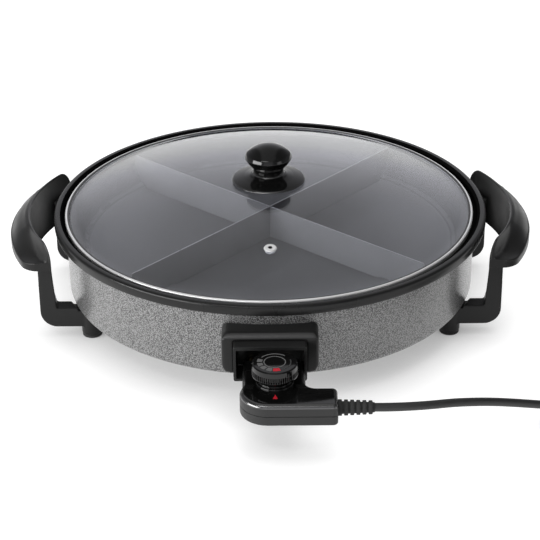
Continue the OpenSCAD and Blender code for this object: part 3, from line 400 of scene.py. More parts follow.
# %% [markdown]
# ## The lid's glass and ring
# The lid is a shallow dome of toughened glass in a rolled steel ring, with a steel eyelet that lets
# steam out. Glass is drawn with its real thickness, because the bright line of its edge and the
# doubled reflections come from that. The dome's section is an arc of a big circle, subdivided by a
# few points; the hole of the vent is cut afterwards by a boolean. Lamps would reach the pan only by
# bending through the glass, which is slow and grainy, so a shadow ray passes straight through.

# %% Helpers for cutting holes
def peg(radius, length, centre, tilt):
    work = bmesh.new()
    bmesh.ops.create_cone(work, cap_ends=True, segments=48, radius1=radius * MM, radius2=radius * MM,
                          depth=length * MM, matrix=Matrix.Translation(Vector(centre) * MM) @ tilt)
    return stood("peg", work)

def settle(made):
    """Keeps what the modifiers made as the piece's own mesh."""
    ready = made.evaluated_get(bpy.context.evaluated_depsgraph_get())
    mesh = bpy.data.meshes.new_from_object(ready)
    made.modifiers.clear()
    made.data = mesh

def drill(made, pegs, sharp):
    for cutter in pegs:
        hole = made.modifiers.new("hole", "BOOLEAN")
        hole.operation = "DIFFERENCE"
        hole.solver = "EXACT"
        hole.object = cutter
    settle(made)
    for cutter in pegs:
        bpy.data.objects.remove(cutter)
    made.data.set_sharp_from_angle(angle=radians(sharp))
    print(made.name, "drilled, faces:", len(made.data.polygons))

# %% Glass
def clear_glass():
    made = finish("clear_glass", (0.90, 0.91, 0.95), (0.93, 0.94, 0.98), rough=0.006, swing=0.006,
                  cloud=9.0, grain=60.0, bump=0.0, Transmission_Weight=1.0, IOR=1.5)
    nodes, wires = made.node_tree.nodes, made.node_tree.links
    rays = shader_node(nodes, "LightPath")
    clear = shader_node(nodes, "BsdfTransparent", {"Color": (0.86, 0.87, 0.90, 1.0)})
    pick = shader_node(nodes, "MixShader")
    join(wires, (rays, "Is Shadow Ray", pick, "Fac"), (nodes["Principled BSDF"], "BSDF", pick, 1),
         (clear, "BSDF", pick, 2), (pick, "Shader", nodes["Material Output"], "Surface"))
    return made

LID = (-1.0, PAN_Y)
DOME_R, APEX = 705.05, 131.6
GLASS_OUT, GLASS_THICK, ARC_STEPS = 194.3, 4, 22

def dome_height(r):
    return APEX - DOME_R + sqrt(DOME_R * DOME_R - r * r)

arc = [GLASS_OUT * i / ARC_STEPS for i in range(ARC_STEPS + 1)]
above = [(r, dome_height(r)) for r in arc]
below = [(r, dome_height(r) - GLASS_THICK) for r in reversed(arc)]
lid_work = turned(above + [(197.6, 104.3), (197.6, 100.4)] + below, steps=180, about=LID)
lid = piece("lid_dome", lid_work, clear_glass(), "lid", "lid_glass")

# %% Drill the vent
VENT_OUT = 126
vent_spin = Matrix.Rotation(radians(0.7), 4, "Z")
vent_turn = vent_spin @ Matrix.Rotation(asin(VENT_OUT / DOME_R), 4, "X")
vent_spot = Vector((*LID, 0)) + vent_spin @ Vector((0, -VENT_OUT, dome_height(VENT_OUT)))
drill(lid, [peg(2.9, 16, vent_spot, vent_turn)], sharp=30)
print("vent at", [round(v, 1) for v in vent_spot])

# %% Steel ring
SPUN = {"cloud": 90.0, "grain": 2200.0}
bright_steel = finish("polished_steel", **grey(0.84, 0.92), rough=0.22, swing=0.03, **SPUN, bump=0.05,
                      Metallic=1.0)
ring_steel = finish("ring_steel", **grey(0.88, 0.96), rough=0.24, swing=0.03, **SPUN, bump=0.05,
                    Metallic=0.5)
# Painted shade: a dark steel finish for the ring's inner lap beside the glass and the eyelet's bore.
painted_shade_steel = finish("painted_shade_steel", **grey(0.05, 0.08), rough=0.35, **SPUN, bump=0.08, Metallic=0.6)
ring_work = turned([(194.3, 99.5), (198.5, 99.5), (198.5, 105.1), (196.3, 105.1), (196.0, 104.7),
                    (194.3, 104.7), (194.3, 104.4), (197.7, 104.4), (197.7, 100.3), (194.3, 100.3)],
                   steps=180, about=LID, closed=True)
ease_rings(ring_work, ((198.5, 105.1, 1.5),), LID, 6)
ease_rings(ring_work, ((196.3, 105.1, 0.3), (198.5, 99.5, 0.8)), LID, 3)
# The ring's inner lap is painted dark as shade beside the glass.
for face in ring_work.faces:
    spot = face.calc_center_median()
    painted_shade_lap = out_from(spot, LID) < 196.2 and spot.z > 104.3 * MM
    face.material_index = 1 if painted_shade_lap else 0
lid_rim = piece("lid_steel_ring", ring_work, [ring_steel, painted_shade_steel], "lid", "lid_ring")

# %% Vent eyelet
BORE_R = 2.2
eyelet_work = turned([(2.0, 1.0), (2.8, 1.15), (5.2, 0.95), (6.0, 0.1), (2.85, 0.05), (2.85, -4.1),
                      (5.0, -4.1), (5.0, -4.9), (2.0, -4.9)], steps=48, about=(0, 0), closed=True)
# Painted shade: the bore of the eyelet takes the dark steel finish.
for face in eyelet_work.faces:
    face.material_index = 1 if out_from(face.calc_center_median(), (0, 0)) < BORE_R else 0
bmesh.ops.transform(eyelet_work, matrix=Matrix.Translation(vent_spot * MM) @ vent_turn,
                    verts=eyelet_work.verts)
eyelet = piece("steam_eyelet", eyelet_work, [ring_steel, painted_shade_steel], "lid", "vent_eyelet")

# %% [markdown]
# ## The knob
# The knob is black moulded plastic with a polished face: a wide dished foot, and a neck that flares to
# a head with a bevelled edge and a domed crown. Polished plastic is nearly black in itself. What one
# sees on it is the room, so its colour stays very dark and its roughness low. Thin edges catch more
# light than the mesh can show, so the edge of the foot and the foot of the neck get a brighter finish.

# %% Foot of the knob
POLISH = {"swing": 0.02, "cloud": 70.0, "grain": 1200.0, "bump": 0.02}
polished_black = finish("polished_black", **grey(0.003, 0.006), rough=0.06, **POLISH,
                        Specular_IOR_Level=0.45)
polished_edge = finish("polished_edge", **grey(0.004, 0.007), rough=0.20, **POLISH,
                       Specular_IOR_Level=0.75, IOR=1.9)
foot_gloss = finish("foot_gloss", **grey(0.003, 0.006), rough=0.09, **POLISH, Specular_IOR_Level=0.28)
FOOT_EDGE_FROM = 34.2
foot_work = turned([(2.9, 131.7), (34.7, 131.7), (35.5, 132.4), (34.3, 133.6), (27.7, 135.4), (20, 136.7),
                    (15.7, 138.7), (2.9, 138.7)], steps=96, about=LID, closed=True)
ease_rings(foot_work, ((27.7, 135.4, 5), (20, 136.7, 3), (34.3, 133.6, 0.25), (35.5, 132.4, 0.25)), LID)
for face in foot_work.faces:
    on_edge = out_from(face.calc_center_median(), LID) > FOOT_EDGE_FROM
    face.material_index = 1 if on_edge else 0
knob_foot = piece("knob_foot", foot_work, [foot_gloss, polished_edge], "lid", "knob_base")

# %% Head of the knob
CROWN_BOW, CROWN_TOP = 30.62, 168.1
NECK_LOW, NECK_HIGH = 138.75, 139.65
crown_turns = [radians(a) for a in range(48, 90, 6)]
crown = [(CROWN_BOW * cos(a), CROWN_TOP - CROWN_BOW + CROWN_BOW * sin(a)) for a in crown_turns]
head_work = turned([(0, 155), (2.6, 155), (2.6, 138.7), (15.6, 138.7), (14.75, 139.6), (14.75, 143.6),
                    (15.35, 144.9), (17.0, 147.1), (20.5, 151), (22.4, 154.5), (23, 155.7),
                    (21.4, 159.4)] + crown + [(0, CROWN_TOP)], steps=96, about=LID)
ease_rings(head_work, ((15.35, 144.9, 1.2), (17.0, 147.1, 2), (20.5, 151, 2), (22.4, 154.5, 0.6),
                       (23, 155.7, 0.6), (21.4, 159.4, 0.8)), LID)
for face in head_work.faces:
    at_foot = NECK_LOW < face.calc_center_median().z / MM < NECK_HIGH
    face.material_index = 1 if at_foot else 0
knob_head = piece("knob_head", head_work, [polished_black, polished_edge], "lid", "knob")

# %% [markdown]
# ## The divider
# Two coated sheets, half-lapped at the middle, part the pan into four. They drop in with a little
# play. Each sheet is one drawn outline, extruded to its thickness, with a small bevel; the flat of
# the top edge takes a paler, metallic finish as a painted highlight.

# %% Cut the divider's sheets
coated_sheet = finish("coated_sheet", **grey(0.16, 0.20), rough=0.36, swing=0.06, cloud=40.0, grain=1600.0)
painted_highlight_edge = finish("painted_highlight_edge", **grey(0.50, 0.70), rough=0.34, swing=0.08, cloud=140.0, grain=1800.0,
                     Metallic=0.8)
SHEET_LOW, SHEET_MID, SHEET_TOP = 68.6, 84.7, 100.8
SHEET_THICK, SLOT_HALF = 1.5, 0.85
half_sheet = [(171.72, SHEET_LOW), (182.26, 76.9), (189.63, 92.8), (186.87, SHEET_TOP)]

def slot_outline(side, end):
    """The lap's slot, from one side of the middle to the other, open at its end."""
    return [(side * SLOT_HALF, end), (side * SLOT_HALF, SHEET_MID),
            (-side * SLOT_HALF, SHEET_MID), (-side * SLOT_HALF, end)]

def divider_sheet(name, bearing, slot_low, solid):
    work = bmesh.new()
    left = [(-x, z) for x, z in reversed(half_sheet)]
    slot_top = [] if slot_low else slot_outline(1, SHEET_TOP)
    slot_foot = slot_outline(-1, SHEET_LOW) if slot_low else []
    outline = half_sheet + slot_top + left + slot_foot
    work.faces.new([work.verts.new((x * MM, -SHEET_THICK / 2 * MM, z * MM)) for x, z in outline])
    thicken(work, (0, SHEET_THICK, 0))
    bmesh.ops.recalc_face_normals(work, faces=work.faces)
    soften(work, [e for e in work.edges if abs(e.verts[0].co.y - e.verts[1].co.y) < 1e-6], 0.35, 2)
    for face in work.faces:
        # Painted highlight: the flat of the top edge is paler and metallic.
        faces_up = face.normal.z > 0.25 and abs(face.normal.y) < 0.3
        face.material_index = 1 if faces_up and face.calc_center_median().z > 92.8 * MM else 0
    bmesh.ops.transform(work, verts=work.verts, matrix=Matrix.Translation((0, PAN_Y * MM, 0))
                        @ Matrix.Rotation(radians(bearing), 4, "Z"))
    made = piece(name, work, [coated_sheet, painted_highlight_edge], "divider", solid, even=True)

divider_sheet("divider_sheet_a", 48.4, True, "divider_panel_a")
divider_sheet("divider_sheet_b", -41.6, False, "divider_panel_b")

# %% [markdown]
# ## Moulded plastic: legs and socket
# The legs and the socket are thick mouldings. A mould never leaves a sharp edge, and where two forms
# meet there is a small fillet. Bevelling a form with so many crossing surfaces is fiddly, so these
# pieces start from a copy of the solid: it is remeshed into small even faces and relaxed a few times,
# which rounds edges and fills corners as the mould does.

# %% A helper for mouldings
MOULDED = {"cloud": 35.0, "grain": 1700.0}
satin_black = finish("satin_black", **grey(0.014, 0.020), rough=0.36, **MOULDED, Specular_IOR_Level=0.25)
# Painted highlight: a paler, glossier satin for ridges and front edges of the mouldings.
painted_highlight_satin = finish("painted_highlight_satin", **grey(0.024, 0.032), rough=0.30, swing=0.04, **MOULDED,
                    Specular_IOR_Level=0.5)
ROUNDING_PASSES = 30

def even_copy(name, solid, voxel):
    """A bmesh of a solid's copy, merged and remeshed into even faces."""
    work = bmesh.new()
    work.from_mesh(bpy.data.objects[solid].data)
    bmesh.ops.remove_doubles(work, verts=work.verts, dist=1e-5)
    made = stood(name, work)
    even = made.modifiers.new("even_faces", "REMESH")
    even.mode = "VOXEL"
    even.voxel_size = voxel * MM
    settle(made)
    work = bmesh.new()
    work.from_mesh(made.data)
    bpy.data.objects.remove(made)
    return work

def moulding(name, solid, voxel, passes, eased_by=None, rounder=None, painted_front_highlight=False):
    work = even_copy(name, solid, voxel)
    if eased_by:
        for vert in work.verts:
            eased_by(vert)
    rounded = [vert for vert in work.verts if rounder(vert)] if rounder else []
    for verts, times in ((work.verts, passes), (rounded, ROUNDING_PASSES)):
        for _ in range(times):
            bmesh.ops.smooth_vert(work, verts=verts, factor=0.5, use_axis_x=True, use_axis_y=True,
                                  use_axis_z=True)
    work.normal_update()
    # Painted highlight: faces along a front top edge take the paler edge finish.
    for face in work.faces:
        front_edge = face.normal.y < -0.45 and 0.45 < face.normal.z < 0.9
        face.material_index = 1 if painted_front_highlight and front_edge else 0
    coats = [satin_black, painted_highlight_satin] if painted_front_highlight else satin_black
    made = piece(name, work, coats, "pan", solid, sharp=180.0)

# %% Mould the legs
POST_IN, POST_OUT, POST_FOOT, POST_RISE = 206.7, 220, 25, 52

def chamfer_post(vert):
    """Chamfers a post towards the pan, more and more towards its top."""
    x, y, z = abs(vert.co.x) / MM, abs(vert.co.y / MM - PAN_Y), vert.co.z / MM
    if x < POST_OUT and z > POST_FOOT:
        near = POST_IN + 9.3 * min(max((78 - y) / 18.5, 0.0), 1.0)
        share = (z - POST_FOOT) / POST_RISE
        moved = near + (x - POST_IN) * (POST_OUT - near) / (POST_OUT - POST_IN)
        x += share * max(moved - x, 0.0)
        vert.co.x = (x if vert.co.x > 0 else -x) * MM

for hand in ("left", "right"):
    for end in ("front", "back"):
        moulding(hand + "_" + end + "_support", hand + "_" + end + "_leg", 0.9, 2, eased_by=chamfer_post)

# %% [markdown]
# ## The grips
# A grip is a long bow whose section changes all the way: a tall inner wall with a rounded ridge, a
# shelf that slopes from the ridge to the outer lip, and a thin skirt below for the fingers. So it is
# drawn as a row of sections, each from the same few formulas, and skinned. At the ends the ridge
# comes down in a quarter round and the shelf flattens into a lip that sits on the legs. Two plates
# below reach in to the posts. The ridge and the lips take a paler, glossier finish as a painted highlight.

# %% Lines of a grip
BOW_MIDDLE, INNER_BOW, OUTER_BOW = 88.5, 145, 165
GRIP_TOP, GRIP_END, LIP_LOW, SKIRT_LOW = 105, 86, 77.6, 54

def past(y, start, length):
    return min(max((abs(y) - start) / length, 0.0), 1.0)

def quarter(t):
    return 1 - sqrt(1 - t * t)

def inner_wall(y):
    return BOW_MIDDLE + sqrt(INNER_BOW ** 2 - min(y * y, GRIP_END ** 2))

def outer_wall(y):
    return BOW_MIDDLE + sqrt(OUTER_BOW ** 2 - y * y) - 9 * quarter(past(y, 77, 9))

def ridge_height(y):
    return GRIP_TOP - 18.5 * quarter(past(y, 75, 11))

def skirt_height(y):
    if y > 66 or y < -58:
        return LIP_LOW
    return SKIRT_LOW + (LIP_LOW - SKIRT_LOW) * eased((-38 - y) / 20)

print("grip, millimetres wide at the middle:", outer_wall(0) - inner_wall(0))

# %% Sections of a grip
def grip_section(y):
    inner, outer, top, skirt = inner_wall(y), outer_wall(y), ridge_height(y), skirt_height(y)
    foot = min(top - 0.6, 103 - 16.5 * eased(past(y, 38, 42)))
    edge = 84.5 + 3.5 * (1 - eased(past(y, 30, 45)))
    wall = inner + 5
    has_skirt = skirt < LIP_LOW - 2
    skirt_in = max(inner, 220.5) if y > 55 else inner
    web = min(75.5, skirt + 21.5) if has_skirt else LIP_LOW
    drop, slope, width = top - foot, edge - foot, outer - wall
    swell = 1 - past(y, 38, 42)
    ridge = [(skirt_in, skirt), (skirt_in, max(skirt, 77.2)), (inner, 77.8), (inner, top - 1.4),
             (inner + 0.2, top - 0.7), (inner + 0.6, top - 0.2), (inner + 1.2, top),
             (inner + 1.9, top - 0.12), (inner + 2.5, top - 0.3 - drop * 0.06),
             (inner + 3.1, foot + drop * 0.7)]
    shelf = [(wall - 0.9, foot + drop * 0.3), (wall + 0.2, foot + drop * 0.1),
             (wall + 1.8, foot + slope / width * 1.8),
             (wall + width * 0.3, foot + slope * 0.3 + swell * 0.8),
             (wall + width * 0.5, (foot + edge) / 2 + swell),
             (wall + width * 0.72, foot + slope * 0.72 + swell * 0.8 + 0.1)]
    lip = [(outer - 1.7, edge + 0.7), (outer - 0.8, edge + 0.25), (outer - 0.25, edge - 0.35),
           (outer, edge - 1.1), (outer, LIP_LOW + 0.7), (outer - 0.2, LIP_LOW + 0.2),
           (outer - 0.7, LIP_LOW)]
    under = [(max(wall + 7, skirt_in + 2.2), web),
             (max(wall, skirt_in + 2.1), max(skirt, web - 7) if has_skirt else LIP_LOW),
             (skirt_in + 2, skirt)]
    return ridge + shelf + lip + under

end_turns = [75 + 11 * sin(radians(7.5 * i)) for i in range(1, 13)]
half_row = [1.5 * i for i in range(44)] + [66.0, 66.6] + [67.5 + 1.5 * i for i in range(6)] + end_turns
grip_row = [-y for y in reversed(half_row[1:])] + half_row
print("sections of a grip:", len(grip_row))

# %% Skin the grips
PAD_PLATE = [(222.3, 60.5), (216, 60.5), (207.2, 76), (206.9, 83), (208.5, 84), (222.3, 84)]
PAD_LEVELS = (77.5, 80.6)

def handle_grip(name, side, solid):
    sections = [[(side * x, y + PAN_Y, z) for x, z in grip_section(y)] for y in grip_row]
    work = skin(bmesh.new(), sections)
    ends = [e for e in work.edges if all(abs(v.co.y / MM - PAN_Y) > GRIP_END - 0.01 for v in e.verts)]
    soften(work, ends, 0.5, 3)
    work.normal_update()
    # Painted highlight: the ridge's crest and the lips' top edges take the paler, glossier edge finish.
    for face in work.faces:
        spot = face.calc_center_median()
        y = spot.y / MM - PAN_Y
        inward = abs(spot.x) / MM - inner_wall(y)
        on_ridge = 0.2 < inward < 1.6 and spot.z / MM > ridge_height(y) - 0.6
        on_lip = abs(y) > 85.4 and 0.3 < face.normal.z < 0.95
        face.material_index = 1 if on_ridge or on_lip else 0
    for way in (-1, 1):
        skin(work, [[(side * x, way * y + PAN_Y, z) for x, y in PAD_PLATE] for z in PAD_LEVELS])
    made = piece(name, work, [satin_black, painted_highlight_satin], "pan", solid, sharp=40, even=True)

handle_grip("left_handle_grip", -1, "left_grip")
handle_grip("right_handle_grip", 1, "right_grip")

# %% [markdown]
# ## The socket
# The socket's block and its mouth are mouldings like the legs. The block's front edge is rounder than
# the rest, so only the points near that edge are relaxed further. A paler, glossier finish lies along
# the front top edges of the block and the mouth as a painted highlight.

# %% Mould the socket
block_low, block_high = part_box("socket_housing")
EDGE_REACH = 7 * MM

def near_front_edge(vert):
    near = vert.co.y < block_low[1] + EDGE_REACH
    return near and (vert.co.z > block_high[2] - EDGE_REACH or abs(vert.co.x) > block_high[0] - EDGE_REACH)

moulding("socket_block", "socket_housing", 0.6, 3, rounder=near_front_edge, painted_front_highlight=True)
moulding("socket_mouth", "socket_collar", 0.5, 1, painted_front_highlight=True)

# %% [markdown]
# ## Foot pads
# A rubber button is pressed into each foot post. Rubber is dull and a little dusty, and its edge is
# rounded where it meets the table. One button is turned for each post, and all four are one piece.

# %% Turn the foot pads
foot_rubber = finish("foot_rubber", **grey(0.02, 0.04), rough=0.78, cloud=80.0, grain=1300.0, bump=0.2)
FOOT_X, FOOT_Y = 172.8, 68.5
pads_work = bmesh.new()
for x in (-FOOT_X, FOOT_X):
    for y in (PAN_Y - FOOT_Y, PAN_Y + FOOT_Y):
        button = turned([(0, 0), (9.5, 0), (9.5, 3), (4.8, 3), (4.8, 9), (0, 9)], steps=48, about=(x, y))
        ease_rings(button, ((9.5, 0, 0.9),), (x, y))
        mesh = bpy.data.meshes.new("button")
        button.to_mesh(mesh)
        button.free()
        pads_work.from_mesh(mesh)
foot_buttons = piece("foot_buttons", pads_work, foot_rubber, "pan", "foot_pads")

# %% [markdown]
# ## The controller
# The plug-in controller is an L-shaped box in two shells. The top of the upper shell is polished,
# its sides and the lower shell are matt, and a fine line parts them. Extruding the outline and
# bevelling it would pinch where corners of such different radius meet, so the outline is drawn with
# its corners already rounded, drawn in a little more at each level of a rounded edge, and skinned.

# %% Outline of the shells
shell_outline = [(30.2, -229, 4.4), (-24, -229, 4.4), (-24, -256, 10), (-26, -264, 10), (-26, -290, 24),
                 (57, -290, 4.4), (57, -259.5, 4.4), (30.2, -259.5, 9)]
CORNER_STEPS = 8

def outline_ring(inset):
    """The outline with its corners rounded, drawn in by an inset."""
    ring = []
    count = len(shell_outline)
    for i in range(count):
        corner = Vector(shell_outline[i][:2])
        ease = shell_outline[i][2]
        before = (Vector(shell_outline[i - 1][:2]) - corner).normalized()
        after = (Vector(shell_outline[(i + 1) % count][:2]) - corner).normalized()
        half = before.angle(after) / 2
        middle = corner + (before + after).normalized() * ease / sin(half)
        start = (corner + before * ease / tan(half) - middle).normalized()
        sweep = start.angle_signed(corner + after * ease / tan(half) - middle)
        reach = ease - inset if sweep < 0 else ease + inset
        for step in range(CORNER_STEPS + 1):
            ring.append(middle + Matrix.Rotation(-sweep * step / CORNER_STEPS, 2) @ start * reach)
    return ring

def shell_block(levels):
    """A closed block through the outline at each level, given as height and inset."""
    rings = [[(p.x, p.y + PAN_Y, z) for p in outline_ring(inset)] for z, inset in levels]
    return skin(bmesh.new(), rings)

def rounding(height, radius, way):
    """Levels of a rounded edge; way is 1 for a top edge and -1 for a bottom edge."""
    turns = [pi * i / 16 for i in range(9)]
    steps = [(height - way * radius * (1 - sin(a)), radius * (1 - cos(a))) for a in turns]
    return steps if way > 0 else steps[::-1]

print("points round the controller:", len(outline_ring(0.0)))

# %% Skin the shells
matt_black = finish("matt_black", **grey(0.016, 0.022), rough=0.52, cloud=45.0, grain=1900.0, bump=0.14)
shell_gloss = finish("shell_gloss", **grey(0.003, 0.006), rough=0.06, **POLISH, Specular_IOR_Level=0.75)
TOP_EASE, POLISHED_FROM = 4.1, 52.4
cover_work = shell_block([(45.15, 0.25), (45.4, 0.0)] + rounding(56, TOP_EASE, 1))
for face in cover_work.faces:
    on_rounding = 0.25 < face.normal.z < 0.97
    on_side = face.calc_center_median().z < POLISHED_FROM * MM
    face.material_index = 1 if on_side else (2 if on_rounding else 0)
upper_shell = piece("controller_upper_shell", cover_work, [shell_gloss, matt_black, polished_edge],
                    "controller", "controller_cover", sharp=50, even=True)
lower_work = shell_block(rounding(36, 1.6, -1) + [(44.6, 0.0), (44.85, 0.25)])
lower_shell = piece("controller_lower_shell", lower_work, matt_black, "controller", "controller_base",
                    sharp=50, even=True)

# %% [markdown]
# ## The controller's nose
# The nose reaches into the socket. It is a small block with its front and top edges rounded, bored for
# the two contacts and, between them, for the probe. A boolean on the whole shell would be fragile, so
# the nose is a piece of its own that overlaps the shell.

# %% Bore the nose for the contacts
NOSE_MIDDLE, NOSE_SIZE = (2.5, PAN_Y - 227, 50.35), (53, 26, 10.4)
NOSE_FRONT, NOSE_TOP, BORE_Z = PAN_Y - 215, 55, 50.5
nose = bmesh.new()
bmesh.ops.create_cube(nose, size=1.0, matrix=Matrix.Translation([c * MM for c in NOSE_MIDDLE])
                      @ Matrix.Diagonal([*(c * MM for c in NOSE_SIZE), 1.0]))
nose_edges = []
for edge in nose.edges:
    if all(v.co.y > NOSE_FRONT * MM or v.co.z > NOSE_TOP * MM for v in edge.verts):
        nose_edges.append(edge)
soften(nose, nose_edges, 2.4, 4)
nose_piece = piece("controller_nose", nose, polished_black, "controller", sharp=50)
along_y = Matrix.Rotation(pi / 2, 4, "X")
bores = [peg(r, 40, (x, PAN_Y - 226, BORE_Z), along_y) for r, x in ((3.7, -17), (3.7, 17), (3.1, 0))]
drill(nose_piece, bores, sharp=50)

# %% [markdown]
# ## The dial
# The dial turns on a stepped boss. Its cap is smooth above and ribbed below for the fingers, and its
# flat top has printed marks: a ring, two arcs, four grey steps for the heat and one red step for off.
# The ribs are made by pressing in every other column of the turned wall; the marks are thin strips,
# each a short edge spun through part of a turn and lifted a hair off the top.

# %% Stepped boss
DIAL = (4.0, PAN_Y - 251.8)
boss_work = turned([(3.1, 55.5), (16.5, 55.5), (16.5, 58), (15, 58), (15, 60), (3.1, 60)], steps=96,
                   about=DIAL, closed=True)
ease_rings(boss_work, ((16.5, 58, 0.6), (15, 60, 0.6)), DIAL, 3)
boss = piece("dial_boss", boss_work, polished_black, "controller")

# %% Ribbed cap
RIBS, RIB_COLUMNS, RIB_OUT, RIB_IN = 60, 4, 19.8, 18.85
DIAL_TOP = 76.0
cap_work = turned([(3.0, 60.3), (14, 60.3), (14, 64.4), (19.4, 64.4), (19.8, 64.6), (20.0, 65.0),
                   (20.0, 66.0), (RIB_OUT, 66.4), (RIB_OUT, 70.2), (19.6, 70.8), (19.4, 75.1),
                   (18.2, DIAL_TOP), (0, DIAL_TOP)], steps=RIBS * RIB_COLUMNS, about=DIAL)
centre = Vector(DIAL) * MM
for vert in cap_work.verts:
    out = vert.co.xy - centre
    if 66.3 * MM < vert.co.z < 70.3 * MM and out.length > 18.5 * MM:
        turns = out.angle_signed(Vector((1, 0))) / (2 * pi)
        if round(turns * RIBS * RIB_COLUMNS) % RIB_COLUMNS in (2, 3):
            vert.co.xy = centre + out * (RIB_IN / RIB_OUT)
cap = piece("dial_cap", cap_work, polished_black, "dial", "dial", sharp=32)

# %% Printed marks
PRINTED = {"cloud": 300.0, "grain": 2500.0, "bump": 0.08}
MARK_THICK = 0.12
mark_grey = finish("mark_grey", **grey(0.12, 0.15), rough=0.5, **PRINTED)
mark_faint = finish("mark_faint", **grey(0.035, 0.05), rough=0.5, **PRINTED)
mark_red = finish("mark_red", (0.50, 0.012, 0.026), (0.60, 0.018, 0.036), rough=0.45, **PRINTED)

def dial_mark(name, inner, outer, start, sweep, material):
    work = bmesh.new()
    middle = Vector((*DIAL, DIAL_TOP)) * MM
    begin = Matrix.Translation(middle) @ Matrix.Rotation(radians(start), 4, "Z")
    ends = [work.verts.new(begin @ Vector((r * MM, 0, 0))) for r in (inner, outer)]
    stroke = work.edges.new(ends)
    bmesh.ops.spin(work, geom=ends + [stroke], cent=middle, axis=(0, 0, 1), angle=radians(sweep),
                   steps=max(4, int(sweep / 4)), use_merge=sweep >= 360)
    bmesh.ops.remove_doubles(work, verts=work.verts, dist=1e-6)
    thicken(work, (0, 0, MARK_THICK))
    made = piece(name, work, material, "dial")

dial_mark("mark_ring", 8.7, 9.6, 0, 360, mark_grey)
dial_mark("mark_back_arc", 12.9, 13.9, 50, 95, mark_grey)
dial_mark("mark_side_arc", 13.2, 14.2, -58, 74, mark_faint)
for index, bearing in enumerate((169, 197, 224, 250)):
    dial_mark(f"mark_step_{index}", 10.6, 15.2, bearing - 10, 20, mark_grey)
dial_mark("mark_off", 10.6, 15.2, 264, 26, mark_red)

# %% Red pointer
POINTER_Z = 56.0
pointer_work = bmesh.new()
arrow = ((4.3, -272), (2.2, -278.7), (6.4, -278.7))
pointer_work.faces.new([pointer_work.verts.new(Vector((x, y + PAN_Y, POINTER_Z)) * MM) for x, y in arrow])
thicken(pointer_work, (0, 0, MARK_THICK))
pointer = piece("red_pointer", pointer_work, mark_red, "controller")

# %% [markdown]
# ## Strain relief, plug and tie
# A ribbed rubber sleeve keeps the lead from kinking where it leaves the controller, and a plain one is
# moulded on to the plug. They are turned pieces laid on their side. The tie is a soft strap with
# rounded corners round the coil: a tube with four flat sides, bevelled and given a thickness.

# %% Turn the strain relief
def laid(work, at, turn):
    bmesh.ops.transform(work, matrix=Matrix.Translation(Vector(at) * MM) @ turn, verts=work.verts)
    return work

SLEEVE_RIBS, SLEEVE_LONG = 6, 31
relief = [(0, 0)]
for rib in range(SLEEVE_RIBS):
    wide = 7.0 - 1.25 * rib / SLEEVE_RIBS
    start = rib * SLEEVE_LONG / SLEEVE_RIBS
    relief += [(wide, start), (wide, start + 3.2), (wide - 1.5, start + 3.2),
               (wide - 1.7, start + SLEEVE_LONG / SLEEVE_RIBS)]
relief += [(0, SLEEVE_LONG)]
relief_work = turned(relief, steps=48, about=(0, 0))
rib_edges = []
for edge in relief_work.edges:
    level_edge = abs(edge.verts[0].co.z - edge.verts[1].co.z) < 1e-6
    if level_edge and len(edge.link_faces) == 2 and edge.calc_face_angle() > 1.0:
        rib_edges.append(edge)
soften(relief_work, rib_edges, 0.35, 2)
laid(relief_work, (57, PAN_Y - 277, 46), Matrix.Rotation(pi / 2, 4, "Y"))
sleeve = piece("lead_sleeve", relief_work, foot_rubber, "controller", "strain_relief")

# %% Turn the plug
plug_work = turned([(0, 0), (5.75, 0), (7.75, 27.9), (13.8, 34), (17.6, 38.9), (18.7, 43.1), (18.7, 72),
                    (0, 72)], steps=72, about=(0, 0))
ease_rings(plug_work, ((7.75, 27.9, 5), (13.8, 34, 3), (17.6, 38.9, 3), (18.7, 72, 1.2), (5.75, 0, 0.8)),
           (0, 0), 5)
laid(plug_work, PLUG_END, Matrix.Rotation(-pi / 2, 4, "X"))
plug = piece("mains_plug", plug_work, satin_black, "controller", "plug_body")

# %% Fold the tie
strap = bmesh.new()
low, high = (Vector(corner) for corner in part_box("coil_tie"))
bmesh.ops.create_cube(strap, size=1.0, matrix=Matrix.Translation((low + high) / 2)
                      @ Matrix.Diagonal((*(high - low), 1.0)))
bmesh.ops.delete(strap, geom=[f for f in strap.faces if abs(f.normal.y) > 0.9], context="FACES")
soften(strap, [e for e in strap.edges if len(e.link_faces) == 2], 3.4, 5)
bmesh.ops.recalc_face_normals(strap, faces=strap.faces)
bmesh.ops.solidify(strap, geom=strap.faces[:], thickness=1.1 * MM)
band = piece("coil_strap", strap, foot_rubber, "controller", "coil_tie")

# %% [markdown]
# ## Hidden metal and ceramic
# Inside and under the pan sit plain parts whose solids are already right: plates, screws, the heating
# element, pins and bushes. They keep their solids and only get finishes: zinc-plated steel, a sheath
# browned by heat, cast aluminium, brass and cream ceramic.

